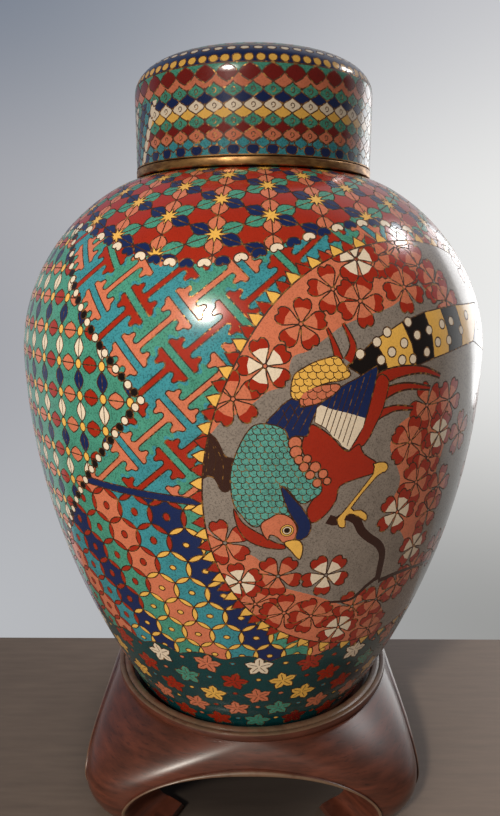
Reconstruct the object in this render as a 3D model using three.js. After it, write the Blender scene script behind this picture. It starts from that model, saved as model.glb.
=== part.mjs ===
// Cloisonne ginger jar with its cap lid and its carved hardwood stand.
// Millimetres, +Z up. The origin is on the floor under the middle of the stand, the front faces -Y.
import * as THREE from 'three';

// Driving dimensions of the jar
const footRadius = 55.5; // outer edge of the foot
const bellyRadius = 100; // widest place of the body
const bellyHeight = 158.5; // foot to the widest place
const shoulderHeight = 72.5; // widest place to the root of the neck
const shoulderFullness = 0.7; // power of the shoulder's curve, lower is fuller
const neckRadius = 47.2; // outside of the neck
const wall = 3; // metal and enamel together
const footWidth = 4; // width of the ring that the jar stands on
const footRecess = 4; // depth of the hollow under the base

// Driving dimensions of the lid
const lidWall = 2.2; // thickness of the lid
const lidHeight = 47; // lower edge of the rim band to the top
const lidStraight = 31; // straight side, rim band included
const lidCrown = 3.6; // power of the top's curve across, higher is flatter
const lidCorner = 0.42; // power of its rounded edge, lower is squarer
const neckHeadroom = 5.8; // mouth of the neck to where the inside of the lid begins to round
const rimHeight = 3.1; // bare metal band
const rimProud = 0.2; // the band stands out from the side by this much

// Driving dimensions of the stand
const ringWidth = 6.3; // ring moulding, across
const ringDepth = 4; // depth of the ring moulding below its rim
const ringLip = 0.6; // the ring's beads stand this much above its rim plane
const ringInset = 2.3; // the neck under the ring is this much smaller than the ring
const recessDepth = 6; // rim plane down to the floor that the jar stands on
const deckThickness = 6; // wood left under the jar
const apronDrop = 3; // underside of the deck to the top of each arch
const archDrop = 18; // fall of the arch from its top to its widest place
const scrollDrop = 7.5; // fall of the foot's curl below that
const scrollRun = 7.5; // how far the curl turns back in under the arch
const toeRun = 8; // length of the toe past the lowest place of the curl
const toeHeight = 5.5; // thickness of the toe
const kneeSpread = 8.5; // the legs stand out this far beyond the neck under the ring
const kneeRise = 4; // height of the knees above the widest place of the arch
const footTuck = 7; // how far the feet are drawn in below the knees
const cornerRadius = 22; // plan corners from the knees down
const legFace = 21; // width of a leg on each face
const legThickness = 20; // wood at the corners
const apronThickness = 8; // wood at the top of the arches
const beadHeight = 1.6; // bead along the arches, above the face
const beadWidth = 3; // width of that bead

// Clearances
const seam = 0.3; // between two pieces that rest on each other
const lidClearance = 0.6; // neck to the inside of the lid
const ringClearance = 1.6; // body to the inside of the ring

// Fineness of the faceted surfaces
const archSteps = 7; // from the middle of an arch to the corner, on the ring
const turnSteps = 8 * archSteps; // round the ring, the jar and the lid
const curlSteps = 4; // round the curl of a foot
const lowerSteps = 8; // foot to belly
const upperSteps = 8; // belly to neck
const lidSteps = 8; // rounded top of the lid, outside
const lidInnerSteps = 5; // and inside

// Places that follow from the sizes, depths counted down from the ring's rim plane
const bodyHeight = bellyHeight + shoulderHeight;
const neckHeight = lidStraight - lidWall - neckHeadroom;
const lidInner = neckRadius + lidClearance;
const lidRadius = lidInner + lidWall;
const ringSeat = bodyRadius(recessDepth - seam) + ringClearance;
const ringRadius = ringSeat + ringWidth;
const deckUnderside = recessDepth + deckThickness;
const archDepth = deckUnderside + apronDrop;
const archWidest = archDepth + archDrop;
const toeDepth = archWidest + scrollDrop;
const standHeight = toeDepth + toeHeight;
const kneeDepth = archWidest - kneeRise;
const kneeHalfWidth = ringRadius - ringInset + kneeSpread;
const archHalfWidth = kneeHalfWidth - legFace;
const jarBase = standHeight - recessDepth + seam;
const lidBase = jarBase + bodyHeight + seam;

const enamel = new THREE.MeshStandardMaterial({ color: 0x8e3a2c, roughness: 0.18, metalness: 0.1 });
const lidEnamel = new THREE.MeshStandardMaterial({ color: 0x2f6f78, roughness: 0.18, metalness: 0.1 });
const brass = new THREE.MeshStandardMaterial({ color: 0xa8793a, roughness: 0.35, metalness: 1.0 });
const rosewood = new THREE.MeshStandardMaterial({ color: 0x4a1f17, roughness: 0.3, metalness: 0.0 });

// Radius of the body at a height above its foot: a parabola up to the belly, then a rounded shoulder
function bodyRadius(height) {
  if (height <= bellyHeight) {
    const below = 1 - height / bellyHeight;
    return footRadius + (bellyRadius - footRadius) * (1 - below * below);
  }
  const above = Math.min((height - bellyHeight) / shoulderHeight, 1);
  return neckRadius + (bellyRadius - neckRadius) * (1 - above * above) ** shoulderFullness;
}

// Heights where the body's outline has its points, closer together towards the neck
function bodyHeights() {
  const heights = [];
  for (let i = 0; i < lowerSteps; i += 1) heights.push((bellyHeight * i) / lowerSteps);
  for (let i = 0; i <= upperSteps; i += 1) {
    heights.push(bellyHeight + shoulderHeight * Math.sin((Math.PI / 2) * (i / upperSteps)));
  }
  return heights;
}

// The wall's inner face lies square to the outer face, one wall further in
function innerPoint(height) {
  const step = 0.05;
  const low = Math.max(height - step, 0);
  const high = Math.min(height + step, bodyHeight);
  const tangent = new THREE.Vector2(bodyRadius(high) - bodyRadius(low), high - low).normalize();
  return new THREE.Vector2(bodyRadius(height) - wall * tangent.y, height + wall * tangent.x);
}

// A lathe profile turned about Z and lifted to its place
function turned(profile, lift) {
  const geometry = new THREE.LatheGeometry(profile, turnSteps);
  geometry.rotateX(Math.PI / 2);
  geometry.translate(0, 0, lift);
  return geometry;
}

// Hollow jar: recessed base, foot ring, body, open neck, and the inside in the other direction
function jarGeometry() {
  const floor = footRecess + wall;
  const mouth = neckRadius - wall;
  const profile = [
    new THREE.Vector2(0, footRecess),
    new THREE.Vector2(footRadius - footWidth, footRecess),
    new THREE.Vector2(footRadius - footWidth, 0),
  ];
  const heights = bodyHeights();
  for (const height of heights) profile.push(new THREE.Vector2(bodyRadius(height), height));
  profile.push(new THREE.Vector2(neckRadius, bodyHeight + neckHeight));
  profile.push(new THREE.Vector2(mouth, bodyHeight + neckHeight));
  const under = bodyHeight - wall / 2;
  const isInside = (point) => point.x > mouth && point.y > floor + wall && point.y < under;
  const inside = heights.map(innerPoint).filter(isInside);
  profile.push(new THREE.Vector2(mouth, under));
  for (let i = inside.length - 1; i >= 0; i -= 1) profile.push(inside[i]);
  profile.push(new THREE.Vector2(bodyRadius(floor) - 2 * wall, floor));
  profile.push(new THREE.Vector2(0, floor));
  return turned(profile, jarBase);
}

// Height of the lid's rounded top over its lower edge, at a radius, for the outside or the inside
function lidTop(radius, edge, straight, height) {
  return straight + (height - straight) * (1 - (radius / edge) ** lidCrown) ** lidCorner;
}

// Points of the lid's rounded top from the straight side to the axis
function lidCurve(edge, straight, height, steps) {
  const points = [];
  for (let i = 0; i <= steps; i += 1) {
    const radius = edge * Math.cos((Math.PI / 2) * (i / steps));
    points.push(new THREE.Vector2(i === steps ? 0 : radius, lidTop(radius, edge, straight, height)));
  }
  return points;
}

// Hollow cap that drops over the neck
function lidGeometry() {
  const lower = rimHeight + seam;
  const outside = lidCurve(lidRadius, lidStraight, lidHeight, lidSteps);
  const inside = lidCurve(lidInner, lidStraight - lidWall, lidHeight - lidWall, lidInnerSteps);
  const profile = [
    new THREE.Vector2(lidInner, lower),
    new THREE.Vector2(lidRadius, lower),
    ...outside,
    ...inside.reverse(),
    new THREE.Vector2(lidInner, lower),
  ];
  return turned(profile, lidBase);
}

// Metal band along the lid's lower edge
function rimGeometry() {
  const outer = lidRadius + rimProud;
  const profile = [
    new THREE.Vector2(lidInner, 0),
    new THREE.Vector2(outer, 0),
    new THREE.Vector2(outer, rimHeight),
    new THREE.Vector2(lidInner, rimHeight),
    new THREE.Vector2(lidInner, 0),
  ];
  return turned(profile, lidBase);
}

// Shape of the stand's faces
const swellEase = 2.5; // swell from the ring to the knees, higher is fuller near the ring
const tuckEase = 1.6; // draw-in below the knees, higher leaves it later
const squareShare = 0.84; // the round ring is square at this share of the way to the knees
const squareEase = 1.5; // how early it squares up
const archEase = 0.8; // power of the arch across, lower is squarer
const legStart = Math.PI / 9; // the wood begins to thicken at this angle from the middle of a side
const legFull = (Math.PI * 2) / 9; // and has its full thickness here

// Half width of the stand's plan: swells from the neck under the ring to the knees, then draws in
function planHalfWidth(depth) {
  const neck = ringRadius - ringInset;
  if (depth <= kneeDepth) {
    const left = 1 - (depth - ringDepth) / (kneeDepth - ringDepth);
    return neck + kneeSpread * (1 - Math.max(left, 0) ** swellEase);
  }
  const below = (depth - kneeDepth) / (standHeight - kneeDepth);
  return kneeHalfWidth - footTuck * below ** tuckEase;
}

// Radius of the plan at an angle from the middle of a side: a circle that squares up with depth
function planRadius(angle, depth) {
  const half = planHalfWidth(depth);
  const left = Math.max(1 - (depth - ringDepth) / (squareShare * (kneeDepth - ringDepth)), 0);
  const corner = cornerRadius + (half - cornerRadius) * left ** squareEase;
  const centre = half - corner;
  if (half * Math.tan(angle) <= centre) return half / Math.cos(angle);
  const along = centre * (Math.cos(angle) + Math.sin(angle));
  return along + Math.sqrt(along * along - 2 * centre * centre + corner * corner);
}

// Wood measured inwards from the face, thicker towards the legs
function thickness(angle) {
  const share = THREE.MathUtils.smoothstep(angle, legStart, legFull);
  return apronThickness + (legThickness - apronThickness) * share;
}

// Lower edge of half a side, from the top of the arch round the curl to the tip of the toe:
// { across, depth } from the middle of the side
function archEdge() {
  const edge = [];
  for (let i = 0; i <= archSteps; i += 1) {
    const turn = (Math.PI / 2) * (i / archSteps);
    const across = archHalfWidth * Math.sin(turn) ** archEase;
    edge.push({ across, depth: archWidest - archDrop * Math.cos(turn) });
  }
  for (let i = 1; i <= curlSteps; i += 1) {
    const turn = (Math.PI / 2) * (i / curlSteps);
    const across = archHalfWidth - scrollRun * (1 - Math.cos(turn));
    edge.push({ across, depth: archWidest + scrollDrop * Math.sin(turn) });
  }
  const tip = archHalfWidth - scrollRun - toeRun;
  edge.push({ across: tip, depth: toeDepth });
  edge.push({ across: tip, depth: standHeight });
  return edge;
}

// Far side of the same strip: along the ring to the corner, then down the corner to the floor
function farEdge(count, top) {
  const points = [];
  for (let i = 0; i <= archSteps; i += 1) points.push({ angle: (Math.PI / 4) * (i / archSteps), depth: top });
  const below = count - archSteps;
  for (let i = 1; i <= below; i += 1) {
    points.push({ angle: Math.PI / 4, depth: top + (standHeight - top) * (i / below) });
  }
  return points;
}

// Shares of the way from the lower edge to the far edge, and how far the bead lifts the face there
const rows = [
  { away: 0, share: 0, lift: 0.35 },
  { away: 0.5, share: 0, lift: 1 },
  { away: 1, share: 0, lift: 0 },
  { away: 1, share: 0.3, lift: 0 },
  { away: 1, share: 0.65, lift: 0 },
  { away: 1, share: 1, lift: 0 },
];

// Triangles gathered as loose corners, for a closed skin
class Skin {
  constructor() {
    this.corners = [];
  }

  triangle(a, b, c) {
    if (a.distanceTo(b) < 1e-4 || b.distanceTo(c) < 1e-4 || c.distanceTo(a) < 1e-4) return;
    this.corners.push(...a.toArray(), ...b.toArray(), ...c.toArray());
  }

  // Quads over a grid of points, turned over where the grid is mirrored
  grid(lines, flip) {
    for (let i = 0; i + 1 < lines.length; i += 1) {
      for (let j = 0; j + 1 < lines[i].length; j += 1) {
        const quad = [lines[i][j], lines[i + 1][j], lines[i + 1][j + 1], lines[i][j + 1]];
        if (flip) quad.reverse();
        this.triangle(quad[0], quad[1], quad[2]);
        this.triangle(quad[0], quad[2], quad[3]);
      }
    }
  }

  geometry() {
    const geometry = new THREE.BufferGeometry();
    geometry.setAttribute('position', new THREE.Float32BufferAttribute(this.corners, 3));
    geometry.computeVertexNormals();
    return geometry;
  }
}

// One point of the stand: angle from the middle of a side, mirrored or not, on side 0 to 3
function place(radius, angle, depth, side, mirror) {
  const turn = -Math.PI / 2 + (side * Math.PI) / 2 + mirror * angle;
  return new THREE.Vector3(radius * Math.cos(turn), radius * Math.sin(turn), standHeight - depth);
}

// Half of one side: outer face with its bead, inner face, the edge between them and the sole
function addHalfSide(skin, side, mirror) {
  const edge = archEdge();
  const outerFar = farEdge(edge.length - 1, ringDepth);
  const innerFar = farEdge(edge.length - 1, deckUnderside);
  const outer = [];
  const inner = [];
  edge.forEach((low, i) => {
    const lowAngle = Math.atan(low.across / planHalfWidth(low.depth));
    const start = place(planRadius(lowAngle, low.depth), lowAngle, low.depth, side, mirror);
    const far = outerFar[i];
    const end = place(planRadius(far.angle, far.depth), far.angle, far.depth, side, mirror);
    const beadShare = Math.min(beadWidth / start.distanceTo(end), 0.4);
    const outerLine = [];
    const innerLine = [];
    for (const row of rows) {
      const share = beadShare * row.away + (1 - beadShare) * row.share;
      const angle = lowAngle + (far.angle - lowAngle) * share;
      const depth = low.depth + (far.depth - low.depth) * share;
      const innerDepth = low.depth + (innerFar[i].depth - low.depth) * share;
      const back = planRadius(angle, innerDepth) - thickness(angle);
      outerLine.push(place(planRadius(angle, depth) + beadHeight * row.lift, angle, depth, side, mirror));
      innerLine.push(place(back, angle, innerDepth, side, mirror));
    }
    outer.push(outerLine);
    inner.push(innerLine);
  });
  const flip = mirror < 0;
  skin.grid(outer, flip);
  skin.grid(inner, !flip);
  skin.grid([outer.map((line) => line[0]), inner.map((line) => line[0])], flip);
  const last = edge.length - 1;
  skin.grid([outer[last], inner[last]], flip);
  const ring = outer.slice(0, archSteps + 1).map((line) => line[line.length - 1]);
  const underside = inner.slice(0, archSteps + 1).map((line) => line[line.length - 1]);
  return { ring, underside, flip };
}

// Ring moulding of two beads with a groove between them, and the recess for the jar's foot
function ringProfile() {
  return [
    { radius: ringRadius, depth: ringDepth * 0.45 },
    { radius: ringRadius - ringWidth * 0.05, depth: 0.1 * ringDepth },
    { radius: ringRadius - ringWidth * 0.26, depth: -ringLip },
    { radius: ringRadius - ringWidth * 0.42, depth: 0 },
    { radius: ringRadius - ringWidth * 0.66, depth: -ringLip },
    { radius: ringSeat + ringWidth * 0.06, depth: 0 },
    { radius: ringSeat, depth: ringDepth * 0.3 },
    { radius: ringSeat, depth: recessDepth },
  ];
}

// Carved stand, one piece of wood with four arched sides and four scrolled feet
function standGeometry() {
  const skin = new Skin();
  const floorMiddle = new THREE.Vector3(0, 0, standHeight - recessDepth);
  const underMiddle = new THREE.Vector3(0, 0, standHeight - deckUnderside);
  for (let side = 0; side < 4; side += 1) {
    for (const mirror of [1, -1]) {
      const { ring, underside, flip } = addHalfSide(skin, side, mirror);
      const lines = ring.map((start, i) => {
        const angle = (Math.PI / 4) * (i / archSteps);
        const line = [start];
        for (const { radius, depth } of ringProfile()) line.push(place(radius, angle, depth, side, mirror));
        line.push(floorMiddle);
        return line;
      });
      skin.grid(lines, flip);
      skin.grid([underside, underside.map(() => underMiddle)], flip);
    }
  }
  return skin.geometry();
}

function piece(name, geometry, material) {
  const mesh = new THREE.Mesh(geometry, material);
  mesh.name = name;
  return mesh;
}

const gingerJar = new THREE.Group();
gingerJar.add(piece('stand', standGeometry(), rosewood));
gingerJar.add(piece('jar', jarGeometry(), enamel));
gingerJar.add(piece('lid', lidGeometry(), lidEnamel));
gingerJar.add(piece('lid_rim', rimGeometry(), brass));

export default gingerJar;
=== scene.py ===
# Cloisonne ginger jar with its cap lid on a carved hardwood stand: the looks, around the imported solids
import bmesh
import bpy
import numpy as np
from mathutils import Matrix, Vector
from mathutils.geometry import delaunay_2d_cdt


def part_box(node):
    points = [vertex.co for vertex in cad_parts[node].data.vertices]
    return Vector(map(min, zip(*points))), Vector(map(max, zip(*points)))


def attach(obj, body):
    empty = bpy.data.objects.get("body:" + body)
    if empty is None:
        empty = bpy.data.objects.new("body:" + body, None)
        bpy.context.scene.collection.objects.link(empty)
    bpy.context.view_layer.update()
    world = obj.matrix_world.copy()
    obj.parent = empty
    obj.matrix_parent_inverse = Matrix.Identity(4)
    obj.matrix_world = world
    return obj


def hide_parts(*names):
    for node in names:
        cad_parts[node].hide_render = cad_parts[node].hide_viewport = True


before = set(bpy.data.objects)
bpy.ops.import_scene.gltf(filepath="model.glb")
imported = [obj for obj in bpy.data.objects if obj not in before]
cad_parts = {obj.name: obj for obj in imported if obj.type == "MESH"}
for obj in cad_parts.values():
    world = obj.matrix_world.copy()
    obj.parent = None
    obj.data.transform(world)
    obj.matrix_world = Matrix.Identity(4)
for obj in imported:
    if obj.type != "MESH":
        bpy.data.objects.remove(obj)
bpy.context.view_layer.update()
scene = bpy.context.scene
scene.view_settings.view_transform = "Standard"
print("frame loaded")

mm = 0.001
degree = np.pi / 180

# Camera and photo plane

view = dict(
    focal=650,        # pixels
    imageWidth=500,
    imageHeight=816,
    sensor=36,        # mm, along the image height
    back=299,         # mm in front of the jar's axis
    height=236.5,     # mm over the floor
    yaw=-0.25,
    pitch=-12.5,
    roll=0.1,
)


# Axes of the view: forwards from yaw and pitch, right and up turned by the roll
def viewAxes(v):
    yaw, pitch, roll = (v[name] * degree for name in ("yaw", "pitch", "roll"))
    forward = np.array([np.sin(yaw) * np.cos(pitch), np.cos(yaw) * np.cos(pitch), np.sin(pitch)])
    level = np.array([np.cos(yaw), -np.sin(yaw), 0])
    upright = np.cross(level, forward)
    right = np.cos(roll) * level + np.sin(roll) * upright
    up = np.cos(roll) * upright - np.sin(roll) * level
    return right, up, forward


def makeCamera(v):
    right, up, forward = viewAxes(v)
    data = bpy.data.cameras.new("camera")
    data.sensor_fit = "VERTICAL"
    data.sensor_height = v["sensor"]
    data.lens = v["focal"] / v["imageHeight"] * v["sensor"]
    data.clip_start = 0.01
    camera = bpy.data.objects.new("camera", data)
    turn = Matrix([right, up, -forward]).transposed().to_4x4()
    camera.matrix_world = Matrix.Translation((0, -v["back"] * mm, v["height"] * mm)) @ turn
    scene.collection.objects.link(camera)
    scene.camera = camera


makeCamera(view)
print("camera placed")


# Shader maths

class Term:
    # a socket that takes part in sums: each operator adds one Math node
    def __init__(self, finish, socket):
        self.finish = finish
        self.socket = socket

    def math(self, operation, *values):
        return self.finish.node("ShaderNodeMath", dict(operation=operation), dict(enumerate(values)))

    def __add__(self, other):
        return self.math("ADD", self, other)

    def __radd__(self, other):
        return self.math("ADD", other, self)

    def __sub__(self, other):
        return self.math("SUBTRACT", self, other)

    def __rsub__(self, other):
        return self.math("SUBTRACT", other, self)

    def __mul__(self, other):
        return self.math("MULTIPLY", self, other)

    def __truediv__(self, other):
        return self.math("DIVIDE", self, other)

    def over(self, level, soft=0.05):
        # 0 below the level, 1 above it, with a soft step
        step = dict(interpolation_type="SMOOTHSTEP")
        return self.finish.node("ShaderNodeMapRange", step, {0: self, 1: level - soft, 2: level + soft})


class Finish:
    # one material: a Principled shader and the nodes that feed it
    def __init__(self, name):
        self.material = bpy.data.materials.new(name)
        self.material.use_nodes = True
        self.nodes = self.material.node_tree.nodes
        self.links = self.material.node_tree.links
        self.shader = self.nodes["Principled BSDF"]
        self.place = self.node("ShaderNodeTexCoord", {}, {}, "Object")

    # Adds a node: its settings first, then the values or links of its sockets; gives one output
    def node(self, kind, settings, inputs, output=0):
        made = self.nodes.new(kind)
        for name, value in settings.items():
            setattr(made, name, value)
        for name, value in inputs.items():
            if isinstance(value, Term):
                self.links.new(value.socket, made.inputs[name])
            else:
                made.inputs[name].default_value = value
        return Term(self, made.outputs[output])

    def noise(self, size, detail=2, rough=0.5, stretch=(1, 1, 1)):
        scale = {"Vector": self.place, "Scale": tuple(1 / (size * mm * part) for part in stretch)}
        inputs = {"Vector": self.node("ShaderNodeMapping", {}, scale), "Scale": 1, "Detail": detail,
                  "Roughness": rough}
        return self.node("ShaderNodeTexNoise", {}, inputs, "Fac")

    def cells(self, size):
        inputs = {"Vector": self.place, "Scale": 1 / (size * mm)}
        return self.node("ShaderNodeTexVoronoi", {}, inputs, "Distance")

    def blend(self, share, first, second):
        inputs = {0: share, 6: first, 7: second}
        return self.node("ShaderNodeMix", dict(data_type="RGBA"), inputs, 2)

    def bump(self, height, strength, distance):
        inputs = {"Height": height, "Strength": strength, "Distance": distance * mm}
        return self.node("ShaderNodeBump", {}, inputs)

    def feed(self, **sockets):
        names = dict(colour="Base Color", roughness="Roughness", metal="Metallic", normal="Normal",
                     coat="Coat Weight", coatRoughness="Coat Roughness", ior="IOR")
        for name, value in sockets.items():
            socket = self.shader.inputs[names[name]]
            if isinstance(value, Term):
                self.links.new(value.socket, socket)
            else:
                socket.default_value = value
        return self.material


# Linear colour of a screen colour given as 0 to 255, times a share
def tint(red, green, blue, share=1.0):
    screen = np.array([red, green, blue]) / 255
    linear = np.where(screen <= 0.04045, screen / 12.92, ((screen + 0.055) / 1.055) ** 2.4) * share
    return (*linear.tolist(), 1.0)


# Screen colours of the enamels
palette = dict(
    red=(152, 38, 19),
    darkRed=(112, 24, 20),
    coral=(200, 114, 84),
    turquoise=(58, 138, 150),
    green=(70, 144, 124),
    jade=(88, 158, 148),
    navy=(18, 36, 82),
    white=(222, 206, 184),
    yellow=(226, 176, 84),
    grey=(134, 124, 116),
    brown=(50, 25, 19),
    teal=(6, 60, 64),
    black=(18, 13, 13),
)
# How strongly the dark specks show, 0.3 for the others
speckled = dict(turquoise=1.0, green=1.0, jade=0.95, grey=0.9, teal=0.6, coral=0.5)
enamelNames = list(palette)
wireIndex = len(enamelNames)
lidShare = 0.58     # brightness of the lid's enamels beside the jar's


# Polished enamel: mottled at two scales, with pits, a slightly uneven gloss and a soft wave in the surface
glaze = dict(
    broad=5.0,            # mm, size of each kind of mottle
    grain=0.6,
    glossPatch=7.0,
    swell=9.0,
    pitPitch=2.6,
    pitPatch=3.1,
    pitRadius=0.07,       # share of the pit pitch
    light=1.08,           # colour between the specks and on them, as shares
    dark=0.42,
    pitColour=(52, 38, 30),
    gloss=0.15,
    glossRange=0.1,
    coat=0.25,
    coatRoughness=0.05,
)


def enamel(name, place="jar", share=1.0):
    g, finish = glaze, Finish(f"{place}_{name}")
    base = palette[name]
    broad = finish.noise(g["broad"], 3)
    grain = finish.noise(g["grain"], 3, 0.65)
    speckle = (grain.over(0.56, 0.1) * 0.75 + broad.over(0.55, 0.2) * 0.25) * speckled.get(name, 0.3)
    colour = finish.blend(speckle, tint(*base, g["light"] * share), tint(*base, g["dark"] * share))
    pits = finish.cells(g["pitPitch"])
    chosen = finish.noise(g["pitPatch"], 0).over(0.62, 0.02)
    pit = (1 - pits.over(g["pitRadius"], 0.02)) * chosen
    colour = finish.blend(pit, colour, tint(*g["pitColour"]))
    gloss = g["gloss"] + finish.noise(g["glossPatch"], 2) * g["glossRange"] + pit * 0.5
    wave = finish.noise(g["swell"], 1) * 0.7 + grain * 0.06 - pit * 0.5
    return finish.feed(colour=colour, roughness=gloss, normal=finish.bump(wave, 0.3, 0.12), ior=1.5,
                       coat=g["coat"], coatRoughness=g["coatRoughness"])


# Worn gilt wire between the cells: dark where dirt sits, gold where the polish caught it
wireLook = dict(
    dirt=(64, 38, 24),
    gold=(170, 124, 66),
    patch=1.6,            # mm
    roughness=0.5,
    metal=0.25,
    goldMetal=0.4,        # added where it is gold
)


def wireFinish():
    w, finish = wireLook, Finish("wire")
    spots = finish.noise(w["patch"], 2).over(0.6, 0.08)
    colour = finish.blend(spots, tint(*w["dirt"]), tint(*w["gold"]))
    return finish.feed(colour=colour, roughness=w["roughness"] - spots * 0.08,
                       metal=w["metal"] + spots * w["goldMetal"])


# Old brass: warm, patchy, browned in places and rubbed bright in others
brassLook = dict(
    dark=(120, 84, 52),
    bright=(176, 134, 84),
    stain=(70, 46, 30),
    stainShare=0.3,
    patch=6.0,            # mm
    grain=0.8,
    roughness=0.34,
    metal=0.85,
)


def brassFinish():
    b, finish = brassLook, Finish("old_brass")
    patch = finish.noise(b["patch"], 4, 0.6, (1, 1, 0.35))
    fine = finish.noise(b["grain"], 3, 0.6, (2.5, 2.5, 0.4))
    worn = patch.over(0.52, 0.14)
    colour = finish.blend(worn, tint(*b["dark"]), tint(*b["bright"]))
    colour = finish.blend(fine.over(0.62, 0.1) * b["stainShare"], colour, tint(*b["stain"]))
    rough = b["roughness"] + fine * 0.2 - worn * 0.08
    normal = finish.bump(fine + patch, 0.3, 0.08)
    return finish.feed(colour=colour, roughness=rough, metal=b["metal"], normal=normal)


# Oiled rosewood: long grain, dark pores; greyed by rubbing and dust where its share is over 0
wood = dict(
    dark=(48, 25, 18),
    light=(98, 50, 35),
    pore=(26, 13, 10),
    rubbed=(126, 108, 86),
    rubbedShare=0.45,
    gloss=0.34,
    glossRange=0.12,
    coat=0.45,
    coatRoughness=0.27,
)


def woodFinish(name, rubbed):
    w, finish = wood, Finish(name)
    grain = finish.noise(2.2, 5, 0.6, (7, 7, 1))
    pores = finish.noise(0.5, 2, 0.5, (9, 9, 0.8)).over(0.64, 0.05)
    colour = finish.blend(grain.over(0.5, 0.4), tint(*w["dark"]), tint(*w["light"]))
    colour = finish.blend(pores * 0.4, colour, tint(*w["pore"]))
    worn = finish.noise(5.0, 4, 0.6).over(0.36, 0.25) * rubbed
    colour = finish.blend(worn, colour, tint(*w["rubbed"]))
    normal = finish.bump(grain - pores * 0.6, 0.16, 0.1)
    return finish.feed(colour=colour, roughness=w["gloss"] + grain * w["glossRange"], normal=normal,
                       coat=w["coat"], coatRoughness=w["coatRoughness"])


enamels = [enamel(name) for name in enamelNames] + [wireFinish()]
lidEnamels = [enamel(name, "lid", lidShare) for name in enamelNames] + [enamels[-1]]
brass = brassFinish()
rosewood = woodFinish("rosewood", 0)
rubbedWood = woodFinish("rubbed_rosewood", wood["rubbedShare"])
print("finishes mixed")


# Meshes

# Makes a piece from corners in mm and faces, with its finishes, and lets it ride on the object
def newPiece(name, corners, faces, finishes, faceFinish=None, normals=None, uv=None):
    mesh = bpy.data.meshes.new(name)
    mesh.from_pydata((np.asarray(corners) * mm).tolist(), [], np.asarray(faces).tolist())
    for finish in finishes:
        mesh.materials.append(finish)
    if faceFinish is not None:
        mesh.polygons.foreach_set("material_index", np.asarray(faceFinish, np.int32))
    mesh.polygons.foreach_set("use_smooth", np.ones(len(mesh.polygons), bool))
    if uv is not None:
        loops = np.zeros(len(mesh.loops), np.int32)
        mesh.loops.foreach_get("vertex_index", loops)
        mesh.uv_layers.new(name="OFBake").data.foreach_set("uv", np.asarray(uv)[loops].ravel())
    mesh.update()
    if normals is not None:
        mesh.normals_split_custom_set_from_vertices(np.asarray(normals).tolist())
    piece = bpy.data.objects.new(name, mesh)
    scene.collection.objects.link(piece)
    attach(piece, "root")
    return piece


# Quads over a grid of rows and columns, closed round the columns where they meet again
def gridFaces(rows, columns, closed=False):
    across = columns if closed else columns - 1
    row, column = np.meshgrid(np.arange(rows - 1), np.arange(across), indexing="ij")
    after = (column + 1) % columns
    quads = np.stack([row * columns + column, row * columns + after,
                      (row + 1) * columns + after, (row + 1) * columns + column], -1)
    return quads.reshape(-1, 4)


class Turned:
    # a surface turned about Z from a profile of radii and heights, found by its length along the profile
    def __init__(self, radii, heights):
        self.radii = np.asarray(radii, float)
        self.heights = np.asarray(heights, float)
        steps = np.hypot(np.diff(self.radii), np.diff(self.heights))
        self.along = np.concatenate([[0], np.cumsum(steps)])
        self.length = self.along[-1]
        self.slopeRadius = np.gradient(self.radii, self.along)
        self.slopeHeight = np.gradient(self.heights, self.along)

    def radius(self, s):
        return np.interp(s, self.along, self.radii)

    # Point and outward normal at an angle from the front and a length along the profile
    def at(self, angle, s, lift=0.0):
        turn = np.asarray(angle) * degree
        slopes = np.interp(s, self.along, self.slopeRadius), np.interp(s, self.along, self.slopeHeight)
        size = np.hypot(*slopes)
        outwards, upwards = slopes[1] / size, -slopes[0] / size
        radius = self.radius(s) + lift * outwards
        height = np.interp(s, self.along, self.heights) + lift * upwards
        points = np.stack([radius * np.sin(turn), -radius * np.cos(turn), height + 0 * turn], -1)
        normals = np.stack([outwards * np.sin(turn), -outwards * np.cos(turn), upwards + 0 * turn], -1)
        return points, normals


# A brass piece: a closed profile of (radius, height) turned about Z, with its corners left sharp
def turnedPiece(name, profile, turns=144, sharpOver=32):
    profile = np.asarray(profile, float)
    angles = np.arange(turns) / turns * 2 * np.pi
    radius, height = profile[:, :1], profile[:, 1:]
    corners = np.stack([radius * np.sin(angles), -radius * np.cos(angles), height + 0 * angles], -1)
    faces = gridFaces(len(profile), turns, closed=True)
    piece = newPiece(name, corners.reshape(-1, 3), faces, [brass])
    closeUp(piece, sharpOver)
    return piece


# Merges doubles, drops what has no area, turns faces outwards and marks sharp edges
def closeUp(piece, sharpOver):
    work = bmesh.new()
    work.from_mesh(piece.data)
    bmesh.ops.remove_doubles(work, verts=work.verts, dist=0.004 * mm)
    bmesh.ops.dissolve_degenerate(work, edges=work.edges, dist=0.002 * mm)
    bmesh.ops.recalc_face_normals(work, faces=work.faces)
    for edge in work.edges:
        edge.smooth = len(edge.link_faces) == 2 and edge.calc_face_angle(0) < sharpOver * degree
    work.to_mesh(piece.data)
    work.free()


# Jar and lid, from the solids' own places

jarLow, jarHigh = (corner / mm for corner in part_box("jar"))
lidLow, lidHigh = (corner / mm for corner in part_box("lid"))
rimLow, rimHigh = (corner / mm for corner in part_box("lid_rim"))

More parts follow.
